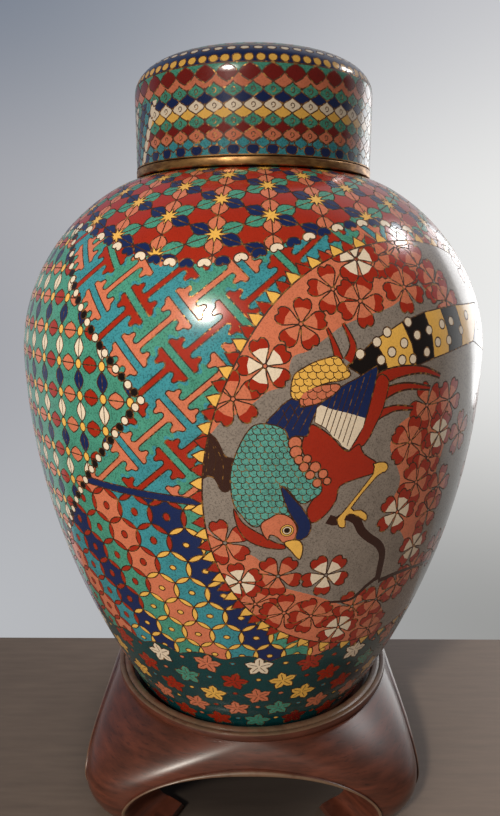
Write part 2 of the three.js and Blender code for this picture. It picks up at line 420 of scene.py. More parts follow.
jar = dict(
    base=jarLow.z,
    footRadius=55.5,
    bellyRadius=jarHigh.x,
    bellyHeight=158.5,
    shoulderHeight=72.5,
    fullness=0.7,         # power of the shoulder's curve
    neckRadius=47.2,
    mouth=jarHigh.z,
    wall=3,
    footWidth=4,
    footRecess=4,
    enamelDepth=0.35,     # enamel lies this thick on the metal
    edge=0.5,             # rounding of the metal's edges
    steps=80,             # points along the metal's outside
    footBare=1.2,         # bare metal left at the foot
    neckBare=1.5,         # and at the root of the neck, along the surface
)
lid = dict(
    radius=lidHigh.x,
    wall=2.2,
    edge=lidLow.z,
    top=lidHigh.z,
    rounding=16,          # height of the rounded top
    crown=3.6,            # power of the top's curve across
    corner=0.42,          # power of its rounded edge
    enamelDepth=0.3,
    bareEdge=0.4,         # height of the metal left bare under the enamel
    gap=0.02,             # kept free between the metal and the solid's side
    bandRound=0.5,        # rounding of the band's edges
    bandSoft=(0.15, 0.12),
    bandHollow=0.05,
)


# Radius over height: a parabola up to the belly, then the shoulder's power curve in to the neck
def bodyProfile(j, steps=900):
    low = np.linspace(0, j["bellyHeight"], steps)
    below = 1 - low / j["bellyHeight"]
    lowRadius = j["footRadius"] + (j["bellyRadius"] - j["footRadius"]) * (1 - below ** 2)
    turn = np.linspace(0, np.pi / 2, steps)[1:]
    high = j["bellyHeight"] + j["shoulderHeight"] * np.sin(turn)
    highRadius = j["neckRadius"] + (j["bellyRadius"] - j["neckRadius"]) * np.cos(turn) ** (2 * j["fullness"])
    return np.concatenate([lowRadius, highRadius]), np.concatenate([low, high]) + j["base"]


# Straight side, then the rounded top: height falls off with a power of the radius
def lidProfile(d, steps=600, inset=0.0, bottom=None):
    edge = d["radius"] - inset
    straightTop = d["top"] - d["rounding"] - inset
    turn = np.linspace(0, np.pi / 2, steps)
    radius = edge * np.cos(turn)
    height = straightTop + d["rounding"] * (1 - (radius / edge) ** d["crown"]) ** d["corner"]
    bottom = d["edge"] if bottom is None else bottom
    return np.concatenate([[edge], radius]), np.concatenate([[bottom], height])


body = Turned(*bodyProfile(jar))
cap = Turned(*lidProfile(lid))


# The metal vessel under the enamel: foot ring, body, neck, mouth and the inside in the other direction
def makeJarBody(j):
    depth, wall, edge = j["enamelDepth"], j["wall"], j["edge"]
    s = np.linspace(0, body.length, j["steps"])
    outside, _ = body.at(0 * s, s, -depth)
    outside = np.stack([-outside[:, 1], outside[:, 2]], -1)
    bareFoot = s < j["footBare"]
    outside[bareFoot, 0] += depth * 0.8
    inside, _ = body.at(0 * s, s, -wall)
    inside = np.stack([-inside[:, 1], inside[:, 2]], -1)
    mouth = j["neckRadius"] - wall
    floor = j["base"] + j["footRecess"] + wall
    root = body.heights[-1]
    inside = inside[(inside[:, 0] > mouth) & (inside[:, 1] > floor + wall)
                    & (inside[:, 1] < root - wall / 2)]
    footIn = j["footRadius"] - j["footWidth"]
    recess = j["base"] + j["footRecess"]
    profile = np.concatenate([
        [(0, recess), (footIn, recess), (footIn, j["base"] + edge), (footIn + edge, j["base"]),
         (j["footRadius"] - edge, j["base"]), (j["footRadius"], j["base"] + edge)],
        outside[(s > edge) & (outside[:, 0] > j["neckRadius"] + edge)],
        [(j["neckRadius"] + edge, root), (j["neckRadius"], root + edge),
         (j["neckRadius"], j["mouth"] - edge), (j["neckRadius"] - edge, j["mouth"]),
         (mouth + edge, j["mouth"]), (mouth, j["mouth"] - edge), (mouth, root - wall / 2)],
        inside[::-1],
        [(inside[0, 0] - 2 * wall, floor), (0, floor)],
    ])
    piece = turnedPiece("jar_body", profile)
    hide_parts("jar")


# The metal cap under the lid's enamel, open below
def makeLidBody(d):
    depth = d["enamelDepth"]
    outer = lidProfile(d, 60, depth)
    inner = lidProfile(d, 40, d["wall"])
    outerEdge, bare = d["radius"] - d["gap"], d["edge"] + d["bareEdge"]
    start = [(d["radius"] - d["wall"], d["edge"]), (outerEdge, d["edge"]), (outerEdge, bare),
             (d["radius"] - depth, bare)]
    outside = np.stack(outer, -1)[1:]
    inside = np.stack(inner, -1)[1:][::-1]
    profile = np.concatenate([start, outside, inside, [(d["radius"] - d["wall"], d["edge"])]])
    piece = turnedPiece("lid_body", profile)
    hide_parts("lid")


# Bare band along the lid's edge: a shallow moulding with rounded corners
def makeRim():
    low, high, outer = rimLow.z, rimHigh.z, rimHigh.x
    inner, fillet = lid["radius"] - lid["wall"], lid["bandRound"]
    across, up = lid["bandSoft"]
    profile = [(inner, low), (outer - fillet, low), (outer - across, low + up), (outer, low + fillet),
               (outer - lid["bandHollow"], (low + high) / 2), (outer, high - fillet),
               (outer - across, high - up), (outer - fillet, high), (inner, high), (inner, low)]
    piece = turnedPiece("lid_band", profile, sharpOver=50)
    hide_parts("lid_rim")


makeJarBody(jar)
makeLidBody(lid)
makeRim()
print("metal turned")


# Painting: cells drawn one over the other, in degrees round a turned surface and mm along it

pen = dict(
    wire=0.46,         # width of a wire, mm
    step=4.6,          # longest straight stretch of an outline, mm
    lift=-0.02,        # painted surface over the solid's, mm
    mesh=5.2,          # spacing of the corners that follow the curve of the surface, mm
    degreeScale=1.5,   # sheet units for one degree
    margin=0.01,       # kept free round a piece's texture coordinates
)
anyZone = -1


# Closed outlines in mm about (0, 0)

def turnBy(points, angle):
    turn = angle * degree
    x, y = np.asarray(points, float).T
    return np.stack([x * np.cos(turn) - y * np.sin(turn), x * np.sin(turn) + y * np.cos(turn)], -1)


# Points round the middle at angles in radians, their distances to the right and upwards given
def wheel(turn, across, up=None):
    return np.stack([across * np.cos(turn), (across if up is None else up) * np.sin(turn)], -1)


# Right half of an outline and its mirror image; a first point off the axis is mirrored as well
def mirrored(points):
    points = np.asarray(points, float)
    last = None if points[0, 0] else 0
    return np.concatenate([points, points[-2:last:-1] * (-1, 1)])


# Ellipse of two half axes
def oval(a, b, count=14, angle=0):
    turn = np.arange(count) / count * 2 * np.pi
    return turnBy(wheel(turn, a, b), angle)


# Pointed leaf: two parabolas over its length; fullness under 1 makes the sides straighter
def leaf(length, width, count=6, angle=0, fullness=1.0):
    x = np.linspace(-1, 1, count + 1)
    y = width / 2 * (1 - np.abs(x) ** (2 * fullness))
    sides = np.stack([np.concatenate([x, x[-2:0:-1]]) * length / 2,
                      np.concatenate([-y, y[-2:0:-1]])], -1)
    return turnBy(sides, angle)


# Bean: a circle with a dent on its lower side
def bean(width, height, dent=0.45, count=18, angle=0):
    turn = np.arange(count) / count * 2 * np.pi
    pinch = 1 - dent * np.exp(-((np.angle(np.exp(1j * (turn + np.pi / 2)))) / 0.55) ** 2)
    return turnBy(wheel(turn, width / 2 * pinch, height / 2 * pinch), angle)


# Star: radius swings between two values
def star(outer, inner, spikes, angle=90):
    turn = np.arange(2 * spikes) / spikes * np.pi
    radius = np.where(np.arange(2 * spikes) % 2 == 0, outer, inner)
    return turnBy(wheel(turn, radius), angle)


# Smooth closed curve through a few points: each stretch is a cubic whose slopes point along its neighbours
def smooth(points, steps=5, closed=True):
    p = np.asarray(points, float)
    if closed:
        before, after, last = np.roll(p, 1, 0), np.roll(p, -1, 0), np.roll(p, -2, 0)
        first = p
    else:
        ends = np.concatenate([p[:1], p, p[-1:]])
        before, first, after, last = ends[:-3], ends[1:-2], ends[2:-1], ends[3:]
    t = (np.arange(steps) / steps)[None, :, None]
    b, f, a, n = (part[:, None, :] for part in (before, first, after, last))
    curve = 0.5 * (2 * f + (a - b) * t + (2 * b - 5 * f + 4 * a - n) * t ** 2
                   + (3 * f - b - 3 * a + n) * t ** 3)
    curve = curve.reshape(-1, 2)
    return curve if closed else np.concatenate([curve, p[-1:]])


# Whether points lie inside a closed ring: an odd number of its edges lies to their right
def insideRing(points, ring):
    x, y = points.T
    odd = np.zeros(len(points), bool)
    for (x0, y0), (x1, y1) in zip(ring, np.roll(ring, -1, 0)):
        if y0 != y1:
            crossing = x0 + (y - y0) / (y1 - y0) * (x1 - x0)
            odd ^= ((y0 > y) != (y1 > y)) & (x < crossing)
    return odd


class Sheet:
    # a part of a turned surface, and the outlines that are drawn on it one over the other
    def __init__(self, surface, left, right, low, high, ground):
        self.surface = surface
        self.left, self.right, self.low, self.high = left, right, low, high
        self.outlines, self.zones, self.finishes, self.isZone = [], [], [], []
        self.zoneNames = []
        corners = [(left, low), (right, low), (right, high), (left, high)]
        self.zone("ground", corners, ground)

    def perDegree(self, s):
        return self.surface.radius(s) * degree

    # A closed outline about a centre, from mm to degrees and mm
    def about(self, centre, shape):
        shape = np.asarray(shape, float)
        s = centre[1] + shape[:, 1]
        return np.stack([centre[0] + shape[:, 0] / self.perDegree(s), s], -1)

    # Splits long stretches so that they can follow the surface
    def finer(self, outline):
        after = np.roll(outline, -1, 0)
        wide = (after[:, 0] - outline[:, 0]) * self.perDegree(outline[:, 1])
        count = np.ceil(np.hypot(wide, after[:, 1] - outline[:, 1]) / pen["step"]).astype(int)
        count = np.maximum(count, 1)
        which = np.repeat(np.arange(len(outline)), count)
        share = (np.arange(len(which)) - np.repeat(np.cumsum(count) - count, count)) / count[which]
        return outline[which] + (after - outline)[which] * share[:, None]

    # Outline moved outwards by a distance in mm: along the mean of its two edges' normals, mitred
    def offset(self, outline, distance):
        outline = np.asarray(outline, float)
        scale = np.stack([self.perDegree(outline[:, 1]), np.ones(len(outline))], -1)
        ahead = (np.roll(outline, -1, 0) - outline) * scale
        size = np.maximum(np.linalg.norm(ahead, axis=1, keepdims=True), 1e-6)
        normal = np.stack([ahead[:, 1], -ahead[:, 0]], -1) / size
        both = normal + np.roll(normal, 1, 0)
        mitre = np.maximum((both ** 2).sum(1, keepdims=True) / 2, 0.35)
        return outline + both / mitre * distance / scale

    # Counterclockwise, without doubled corners
    def outwards(self, outline):
        outline = np.asarray(outline, float)
        apart = np.abs(outline - np.roll(outline, 1, 0)).max(1) > 0.01
        outline = outline[apart]
        x, y = outline.T
        area = (x * np.roll(y, -1) - y * np.roll(x, -1)).sum()
        return outline if area > 0 else outline[::-1]

    # Turns the ring so that it ends on an edge with the inside on its left, or gives None:
    # the winding number is 1 just left of the edge's middle and 0 just right of it
    def started(self, outline):
        after = np.roll(outline, -1, 0)
        ahead = after - outline
        order = np.argsort(-np.abs(ahead).sum(1))[:6]
        for first in order:
            side = np.array([-ahead[first, 1], ahead[first, 0]]) * 0.02
            turns = []
            for sign in (1, -1):
                seen = outline - (outline[first] + ahead[first] / 2 + side * sign)
                to = np.roll(seen, -1, 0)
                angle = np.arctan2(seen[:, 0] * to[:, 1] - seen[:, 1] * to[:, 0], (seen * to).sum(1))
                turns.append(round(angle.sum() / (2 * np.pi)))
            if turns == [1, 0]:
                return np.roll(outline, -first - 1, 0)
        return None

    # Keeps an outline, and again over the sheet's other end where it runs past its side
    def add(self, outline, zone, finish, isZone=False):
        outline = self.started(outline)
        if outline is None:
            return
        outline = self.finer(outline)
        low, high = outline[:, 0].min(), outline[:, 0].max()
        shown = high >= self.left and low <= self.right and outline[:, 1].min() <= self.high
        shifts = [0] if shown else []
        width = self.right - self.left
        if low < self.left - 0.01:
            shifts.append(width)
        if high > self.right + 0.01:
            shifts.append(-width)
        for shift in shifts:
            self.outlines.append(outline + (shift, 0))
            self.zones.append(zone)
            self.finishes.append(finish)
            self.isZone.append(isZone)

    # Starts a zone: cells that are painted in it later show only inside its outline
    def zone(self, name, outline, ground):
        self.zoneNames.append(name)
        rank = len(self.zoneNames) - 1
        self.add(self.outwards(outline), rank, enamelNames.index(ground), True)
        return rank

    # One enamel cell with its wire round it
    def cell(self, outline, colour, zone=anyZone, wire=None):
        outline = self.outwards(outline)
        reach = (pen["wire"] if wire is None else wire) / 2
        if reach:
            self.add(self.offset(outline, reach), zone, wireIndex)
            outline = self.offset(outline, -reach)
        self.add(outline, zone, enamelNames.index(colour))

    # The same for an outline in mm about a centre
    def put(self, centre, shape, colour, zone=anyZone, wire=None):
        self.cell(self.about(centre, shape), colour, zone, wire)

    # A wire, or a stripe of enamel, along an open path
    def line(self, path, zone=anyZone, width=None, colour=None, ends=1.0):
        path = np.asarray(path, float)
        width = pen["wire"] if width is None else width
        scale = np.stack([self.perDegree(path[:, 1]), np.ones(len(path))], -1)
        ahead = np.gradient(path, axis=0) * scale
        normal = np.stack([-ahead[:, 1], ahead[:, 0]], -1) / np.linalg.norm(ahead, axis=1, keepdims=True)
        taper = np.interp(np.arange(len(path)), [0, len(path) - 1], [1, ends])[:, None]
        side = normal * width / 2 * taper / scale
        outline = self.outwards(np.concatenate([path + side, (path - side)[::-1]]))
        self.add(outline, zone, wireIndex if colour is None else enamelNames.index(colour))

    # The same for a path in mm about a centre
    def stroke(self, centre, path, zone=anyZone, width=None):
        self.line(self.about(centre, path), zone, width)

    # Leaves out the cells that lie outside their zone or under a later one, as eight corners of each show
    def dropHidden(self):
        samples = np.array([outline[np.linspace(0, len(outline) - 1, 8).astype(int)]
                            for outline in self.outlines])
        zones, isZone = np.array(self.zones), np.array(self.isZone)
        kept = np.ones(len(zones), bool)
        for rank in range(len(self.zoneNames)):
            inside = np.zeros(samples.shape[:2], bool)
            for ring in np.flatnonzero(isZone & (zones == rank)):
                inside |= insideRing(samples.reshape(-1, 2), self.outlines[ring]).reshape(-1, 8)
            own = (zones == rank) & ~isZone
            below = (zones >= 0) & (zones < rank) & ~isZone
            kept &= ~(own & ~inside.any(1)) & ~(below & inside.all(1))
        for name in ("outlines", "zones", "finishes", "isZone"):
            setattr(self, name, [item for item, keep in zip(getattr(self, name), kept) if keep])

    # Cuts the sheet into triangles, finds the topmost cell of each, and makes the pieces
    def build(self, pieceNames, slot, finishes, turn=0):
        self.dropHidden()
        flat = np.array([pen["degreeScale"], 1.0])
        s = np.arange(self.low + pen["mesh"] / 2, self.high, pen["mesh"])
        grid = []
        for number, height in enumerate(s):
            pitch = pen["mesh"] / self.perDegree(height)
            first = self.left + pitch * (0.5 + 0.5 * (number % 2))
            across = np.arange(first, self.right - pitch * 0.4, pitch)
            grid.append(np.stack([across, 0 * across + height], -1))
        corners = np.concatenate(self.outlines + grid) * flat
        starts = np.concatenate([[0], np.cumsum([len(outline) for outline in self.outlines])])
        rings = [list(range(starts[i], starts[i + 1])) for i in range(len(self.outlines))]
        points, _, faces, _, _, sources = delaunay_2d_cdt([Vector(c) for c in corners], [], rings, 1, 1e-4)
        points = np.array([tuple(p) for p in points]) / flat
        zones, isZone = self.zones, self.isZone
        kept, finish, zoneOf = [], [], []
        for face, ids in zip(faces, sources):
            if 0 not in ids:
                continue
            zone = max(zones[i] for i in ids if isZone[i])
            top = max(i for i in ids if zones[i] == zone or zones[i] == anyZone)
            kept.append(face)
            finish.append(self.finishes[top])
            zoneOf.append(zone)
        kept, finish, zoneOf = np.array(kept), np.array(finish), np.array(zoneOf)
        places, normals = self.surface.at(points[:, 0] + turn, points[:, 1], pen["lift"])
        span = np.array([self.right - self.left, self.high - self.low])
        uv = inset(np.clip((points - (self.left, self.low)) / span, 0, 1))
        for piece in dict.fromkeys(pieceNames.values()):
            ranks = [rank for rank, name in enumerate(self.zoneNames) if pieceNames[name] == piece]
            mine = np.isin(zoneOf, ranks)
            used, inverse = np.unique(kept[mine], return_inverse=True)
            colours, slots = np.unique(finish[mine], return_inverse=True)
            own = [finishes[i] for i in colours]
            newPiece(piece, places[used], inverse.reshape(-1, 3), own, slots, normals[used],
                     spread(uv[used]))
            print(piece, mine.sum(), "triangles")


# Coordinates from 0 to 1, drawn in by the margin
def inset(uv):
    return uv * (1 - 2 * pen["margin"]) + pen["margin"]


# Fills the unit square with the part of it that a piece uses
def spread(uv):
    low, high = uv.min(0), uv.max(0)
    return inset((uv - low) / (high - low))


# Body of the jar, half by half: the same panels on both halves, the bird only on the front

half = dict(left=-85, right=95)     # degrees round the jar, 0 at its front
roundel = dict(
    angle=39.5,
    s=136.2,
    radius=81.5,
    wide=1.034,           # stretch of its two axes
    tall=0.975,
    beads=104,            # triangles round it
    bead=4.9,
    blossom=9.3,
    blossomStep=0.4,      # blossoms are made smaller by none, one or two of these
)
net = dict(
    angle=-62,
    s=161,
    halfAngle=40.7,
    rise=73,
    fall=79.6,
    pitch=180 / 28,
    row=11.12,
    firstAngle=-36.5,
    firstRow=126.5,
    ovalWide=2.85,
    ovalTall=3.5,
    lozengeWide=6.5,
    lozengeTall=6.0,
    spindleWide=4.7,
    beadPitch=3.35,
    bead=3.0,
    columns=(-12, 24),
    rows=(-5, 11),
    beside=8,             # degrees that its rows run on past its corners, to be cut at its edge
    beyond=1.3,           # and the share of its size
)
hexes = dict(
    pitch=7.5,
    row=10.5,
    firstAngle=-17.7,
    firstRow=120,
    lensWide=2.1,
    top=127.5,
    topAngle=-20,         # where the upper edge has that height
    fall=0.06,            # mm that it falls in a degree
    redEnd=50,            # angle beyond which all lenses are red
    band=2.2,             # navy band along the upper edge, between two angles
    bandLeft=-46,
    bandRight=4,
    columns=(-14, 22),
    rows=(-1, 8),
    yellowDot=(1.25, 1.05),
    redDot=(1.35, 1.6),
)
fret = dict(
    angle=-18.443,
    s=183.313,
    alongA=(5.262, 7.761),
    alongB=(4.708, -8.674),
    grow=0.07,            # the ground figures are wider by this share of a pitch
    low=112,
    high=236,
    underRoundel=16,      # mm that the fret runs on under the roundel
    flatten=1.6,          # mm for a degree beside the roundel's middle
    underNet=0.7,         # share of the net panel that it leaves out
    columns=(-20, 30),
    rows=(-24, 30),
)
shoulder = dict(
    pitch=360 / 28,
    firstAngle=-8.5,
    firstRow=217.4,
    row=16.4,
    starOuter=3.7,
    starInner=1.7,
    low=196,              # below this no leaves are drawn
    starRoom=1.2,         # mm between a star's middle and the leaf beside it
    leaves=dict(coral=(6.2, 0.95), green=(6.0, 1.1), navy=(5.8, 0.7)),     # width and fullness
    columns=(-8, 10),
    rows=(-2, 4),
    edge=214.5,
    wave=8.5,
    waveAngle=-13,
    beans=48,
    bean=5.0,
    beanShort=0.94,       # every second bean
    beanTall=0.84,
    dent=0.75,
)
foot = dict(
    edge=53.6,
    wave=3.4,
    waves=14,
    pitch=15,
    firstAngle=2,
    firstRow=50.5,
    row=10.2,
    flower=5.9,
    vein=0.32,
    veinRun=(0.12, 0.74),     # shares of the flower
    lean=14,
    dotRise=1.5,
    columns=(-8, 8),
    under=8,              # mm that the cells above run on under the edge
    rows=(("white", "coral", "white", "red"), ("green", "red", "yellow", "red"),
          ("red", "yellow", "coral", "yellow"), ("coral", "coral", "green", "coral"),
          ("red", "red", "green", "darkRed")),
    dots=("yellow", "red", "coral", "turquoise"),
)


# Whether an angle lies on the half, or within some degrees beside it
def onHalf(angle, beside):
    return half["left"] - beside < angle < half["right"] + beside


# Middle of a stretch in degrees and mm, its length in mm and its direction
def stretch(sheet, start, end):
    middle = (start + end) / 2
    across = (end - start) * (sheet.perDegree(middle[1]), 1)
    return middle, np.hypot(*across), np.arctan2(across[1], across[0]) / degree


# Height of the shoulder's lower edge: a cosine with four waves round the jar
def shoulderEdge(angle):
    return shoulder["edge"] - shoulder["wave"] * np.cos(4 * (angle - shoulder["waveAngle"]) * degree)


# Point of the roundel from mm to its right and upwards
def roundelPoint(across, up):
    s = roundel["s"] + np.asarray(up, float) * roundel["tall"]
    return np.stack([roundel["angle"] + across * roundel["wide"] / (body.radius(s) * degree), s], -1)


def roundelOutline(radius, count=150):
    turn = np.arange(count) / count * 2 * np.pi
    return roundelPoint(radius * np.cos(turn), radius * np.sin(turn))


# Corners of the net panel, from its right corner round to its bottom
def netCorners():
    n = net
    return [(n["angle"] + n["halfAngle"], n["s"]), (n["angle"], n["s"] + n["rise"]),
            (n["angle"] - n["halfAngle"], n["s"]), (n["angle"], n["s"] - n["fall"])]


# Search along a camera ray: shares of the camera's distance and steps between them
trace = (0.35, 1.0, 900)


# Where a pixel of the front view falls on the body, or passes nearest to it, in degrees round the body
# and mm along its profile
def onJar(pixels):
    pixels = np.asarray(pixels, float)
    right, up, forward = viewAxes(view)
    across = (pixels[:, :1] - view["imageWidth"] / 2) / view["focal"]
    upwards = (view["imageHeight"] / 2 - pixels[:, 1:]) / view["focal"]
    rays = forward + across * right + upwards * up
    eye = np.array([0, -view["back"], view["height"]])
    points = eye + np.linspace(*trace)[:, None, None] * view["back"] * rays
    gap = np.hypot(points[..., 0], points[..., 1]) - np.interp(points[..., 2], body.heights, body.radii)
    first = np.where((gap < 0).any(0), (gap < 0).argmax(0), gap.argmin(0))
    hit = points[first, np.arange(len(pixels))]
    angle = np.arctan2(hit[:, 0], -hit[:, 1]) / degree
    return np.stack([angle, np.interp(hit[:, 2], body.heights, body.along)], -1)


# Half of one fret figure: its stem, a round notch, a hooked lobe, a pointed tip and the straight back.
# Across and along are in pitches
fretQuarter = [(0.085, 0.0), (0.085, 0.55), (0.10, 0.63), (0.16, 0.68), (0.225, 0.66), (0.265, 0.59),
               (0.285, 0.515), (0.34, 0.475), (0.395, 0.50), (0.42, 0.575), (0.43, 0.655), (0.475, 0.70),
               (0.545, 0.745), (0.565, 0.82), (0.535, 0.885)]


def fretOutline(centre, stem, bar, grow=0.0):
    q = np.array(fretQuarter) + np.array([grow, 0])
    q[-1, 1] += grow
    shape = np.concatenate([q, q[::-1] * (-1, 1), q * (-1, -1), q[::-1] * (1, -1)])
    return np.asarray(centre) + shape[:, :1] * np.asarray(bar) + shape[:, 1:] * np.asarray(stem)


# Interlocking figures, the ground's first and the coral and red ones over them
def paintFret(sheet):
    a, b = np.array(fret["alongA"]), np.array(fret["alongB"])
    start = np.array([fret["angle"], fret["s"]])
    for wanted in (1, 0):
        for i in range(*fret["columns"]):
            for j in range(*fret["rows"]):
                if (i + j) % 2 != wanted:
                    continue
                centre = start + i * a + j * b
                away = np.hypot((centre[0] - roundel["angle"]) * fret["flatten"], centre[1] - roundel["s"])
                up = abs(centre[1] - net["s"]) / net["rise"]
                inNet = any(abs(centre[0] - net["angle"] - turn) / net["halfAngle"] + up < fret["underNet"]
                            for turn in (0, 180))
                seen = onHalf(centre[0], 9) and fret["low"] < centre[1] < fret["high"]
                if not seen or away < roundel["radius"] - fret["underRoundel"] or inNet:
                    continue
                if wanted:
                    outline = fretOutline(centre, b, a, fret["grow"])
                    sheet.cell(outline, ("turquoise", "green")[j % 2], 0, 0)
                else:
                    sheet.cell(fretOutline(centre, a, b), ("coral", "red")[j % 2], 0)


# Six-sided cells with a lens on every side and a dot in the middle
def paintHexes(sheet, zone):
    h = hexes
    side = h["row"] / 1.5
    spots = [(i, j) for j in range(*h["rows"]) for i in range(*h["columns"])]
    places = [(h["firstAngle"] + h["pitch"] * (i + j / 2), h["firstRow"] - h["row"] * j) for i, j in spots]
    cells = [(i, j, place) for (i, j), place in zip(spots, places) if onHalf(place[0], 5)]
    wide = h["pitch"] / 2
    ring = np.array([(wide, -side / 2), (wide, side / 2), (0, side), (-wide, side / 2), (-wide, -side / 2),
                     (0, -side)])
    for i, j, place in cells:
        sheet.cell(place + ring, ("navy", "green", "coral", "turquoise")[i % 4], zone, 0)
    for i, j, place in cells:
        gold = i + j >= 1 and place[0] < h["redEnd"]
        petal = "yellow" if gold else "red"
        for start, end in zip(ring[:3], ring[1:4]):
            middle, size, angle = stretch(sheet, place + start, place + end)
            sheet.put(middle, leaf(size * 0.99, h["lensWide"], 5, angle), petal, zone)
        dot = h["yellowDot"] if gold else h["redDot"]
        sheet.put(place, oval(*dot, 10), petal, zone)


# Lozenge between the ovals of the net, in half widths and half heights
lozenge = [(-1, 0), (-0.92, -0.3), (-0.6, -0.66), (0, -1), (0.6, -0.66), (0.92, -0.3), (1, 0), (0.92, 0.3),
           (0.6, 0.66), (0, 1), (-0.6, 0.66), (-0.92, 0.3)]


# Rows of ovals and lozenges, with spindles between the rows
def paintNet(sheet, zone):
    n = net
    for k in range(*n["columns"]):
        angle = n["firstAngle"] + n["pitch"] * k
        away = min(abs(angle - n["angle"]), abs(angle - n["angle"] - 180))
        if not onHalf(angle, 6) or away > n["halfAngle"] + n["beside"]:
            continue
        for m in range(*n["rows"]):
            s = n["firstRow"] + n["row"] * m
            if away / n["halfAngle"] + abs(s - n["s"]) / n["rise"] > n["beyond"]:
                continue
            spindle = leaf(n["row"] - n["ovalTall"], n["spindleWide"], 6, 90, 0.8)
            sheet.put((angle, s + n["row"] / 2), spindle, "navy" if m % 2 else "white", zone)
            up = np.array([(angle, s + n["ovalTall"] / 2), (angle, s + n["row"] - n["ovalTall"] / 2)])
            sheet.line(up, zone, pen["wire"] * 0.8)
            between = (angle + n["pitch"] / 2, s)
            diamond = np.array(lozenge) * (n["lozengeWide"] / 2, n["lozengeTall"] / 2)
            sheet.put(between, diamond, "coral" if k % 2 else "red", zone)
            room = (n["pitch"] * sheet.perDegree(s) - n["ovalWide"]) / 2
            sheet.stroke(between, np.array([(-room, 0), (room, 0)]), zone, pen["wire"])
            sheet.put((angle, s), oval(n["ovalWide"] / 2, n["ovalTall"] / 2, 12), "yellow", zone)


# Points at even steps along a straight stretch in degrees and mm, without its end
def evenly(sheet, start, end, pitch):
    start, end = np.array([start, end], float)
    fine = np.concatenate([start + (end - start) * np.linspace(0, 1, 60)[:-1, None], [end]])
    scale = np.stack([sheet.perDegree(fine[:-1, 1]), np.ones(len(fine) - 1)], -1)
    along = np.concatenate([[0], np.cumsum(np.hypot(*(np.diff(fine, axis=0) * scale).T))])
    marks = np.linspace(0, along[-1], max(int(round(along[-1] / pitch)), 2) + 1)[:-1]
    return np.stack([np.interp(marks, along, fine[:, 0]), np.interp(marks, along, fine[:, 1])], -1)


def paintBeads(sheet):
    corners, size = netCorners(), net["bead"] / 2
    for start, end in zip(corners, corners[1:] + corners[:1]):
        for number, spot in enumerate(evenly(sheet, start, end, net["beadPitch"])):
            sheet.put(spot, oval(size, size, 12), ("white", "black")[number % 2])


# Lattice of stars, every second column half a row higher, with a pair of leaves between neighbours
def paintShoulder(sheet, zone):
    d = shoulder
    stars = {}
    for column in range(*d["columns"]):
        for row in range(*d["rows"]):
            stars[column, row] = np.array([d["firstAngle"] + column * d["pitch"],
                                           d["firstRow"] + d["row"] * (row + (column % 2) / 2)])
    for (column, row), start in stars.items():
        odd = column % 2
        links = (((column, row + 1), "coral"), ((column + 1, row + odd), "green"),
                 ((column + 1, row - 1 + odd), "navy"))
        for other, colour in links:
            if other not in stars or not onHalf(start[0], 10):
                continue
            middle, size, angle = stretch(sheet, start, stars[other])
            if middle[1] > body.length + 8 or middle[1] < d["low"]:
                continue
            room = size / 2 - d["starRoom"]
            width, fullness = d["leaves"][colour]
            for share in (-1, 1):
                off = turnBy([(share * (room / 2), 0)], angle)[0]
                spot = sheet.about(middle, [off])[0]
                sheet.put(spot, leaf(room, width, 5, angle, fullness), colour, zone)
            sheet.line(np.array([start, stars[other]]), zone, pen["wire"])
    for (column, row), place in stars.items():
        if onHalf(place[0], 6) and place[1] < body.length + 3:
            shape = star(d["starOuter"], d["starInner"], 8, 90 + 11 * (row + column))
            sheet.put(place, shape, "yellow", zone)


# Beans along the shoulder's lower edge, each leaning with the edge
def paintShoulderEdge(sheet):
    d = shoulder
    for number in range(d["beans"] + 1):
        angle = half["left"] + number * 180 / d["beans"]
        slope = (shoulderEdge(angle + 1) - shoulderEdge(angle - 1)) / (2 * sheet.perDegree(d["edge"]))
        size = d["bean"] * (1.0 if number % 2 else d["beanShort"])
        shape = bean(size, size * d["beanTall"], d["dent"], 16, np.arctan(slope) / degree)
        sheet.put((angle, shoulderEdge(angle)), shape, ("white", "navy")[number % 2])


# Bellflower: five broad pointed petals round a small heart
def flowerShape(size):
    turn = np.arange(30) / 30 * 2 * np.pi + np.pi / 2
    radius = np.array([1.0, 0.84, 0.74, 0.52, 0.74, 0.84] * 5) * size
    return wheel(turn, radius)


# Rows of bellflowers, each leaning by a sine of its place, with dots between them
def paintFoot(sheet, zone):
    f = foot
    for row, colours in enumerate(f["rows"]):
        for column in range(*f["columns"]):
            angle = f["firstAngle"] + f["pitch"] * (column + (row % 2) / 2)
            s = f["firstRow"] - f["row"] * row
            if not onHalf(angle, 6):
                continue
            lean = f["lean"] * np.sin(column * 2.3 + row)
            shape = turnBy(flowerShape(f["flower"]), lean)
            sheet.put((angle, s), shape, colours[(column + 2) % 4], zone)
            for petal in range(5):
                vein = turnBy([(0, f["flower"] * share) for share in f["veinRun"]], lean + 72 * petal)
                sheet.stroke((angle, s), vein, zone, f["vein"])
            place = (angle + f["pitch"] / 2, s + f["dotRise"])
            sheet.put(place, oval(1.1, 0.9, 8), f["dots"][(column + row) % 4], zone)


# Plum blossom: five heart-shaped petals, each with a red end. Half widths and places along a petal
petalSide = [(0.05, 0.08), (0.15, 0.28), (0.26, 0.46), (0.34, 0.64), (0.34, 0.8), (0.26, 0.94), (0.14, 0.99),
             (0.0, 0.9)]
petalEnd = [(0.0, 0.6), (0.15, 0.57), (0.3, 0.54), (0.34, 0.64), (0.34, 0.8), (0.26, 0.94), (0.14, 0.99),
            (0.0, 0.9)]


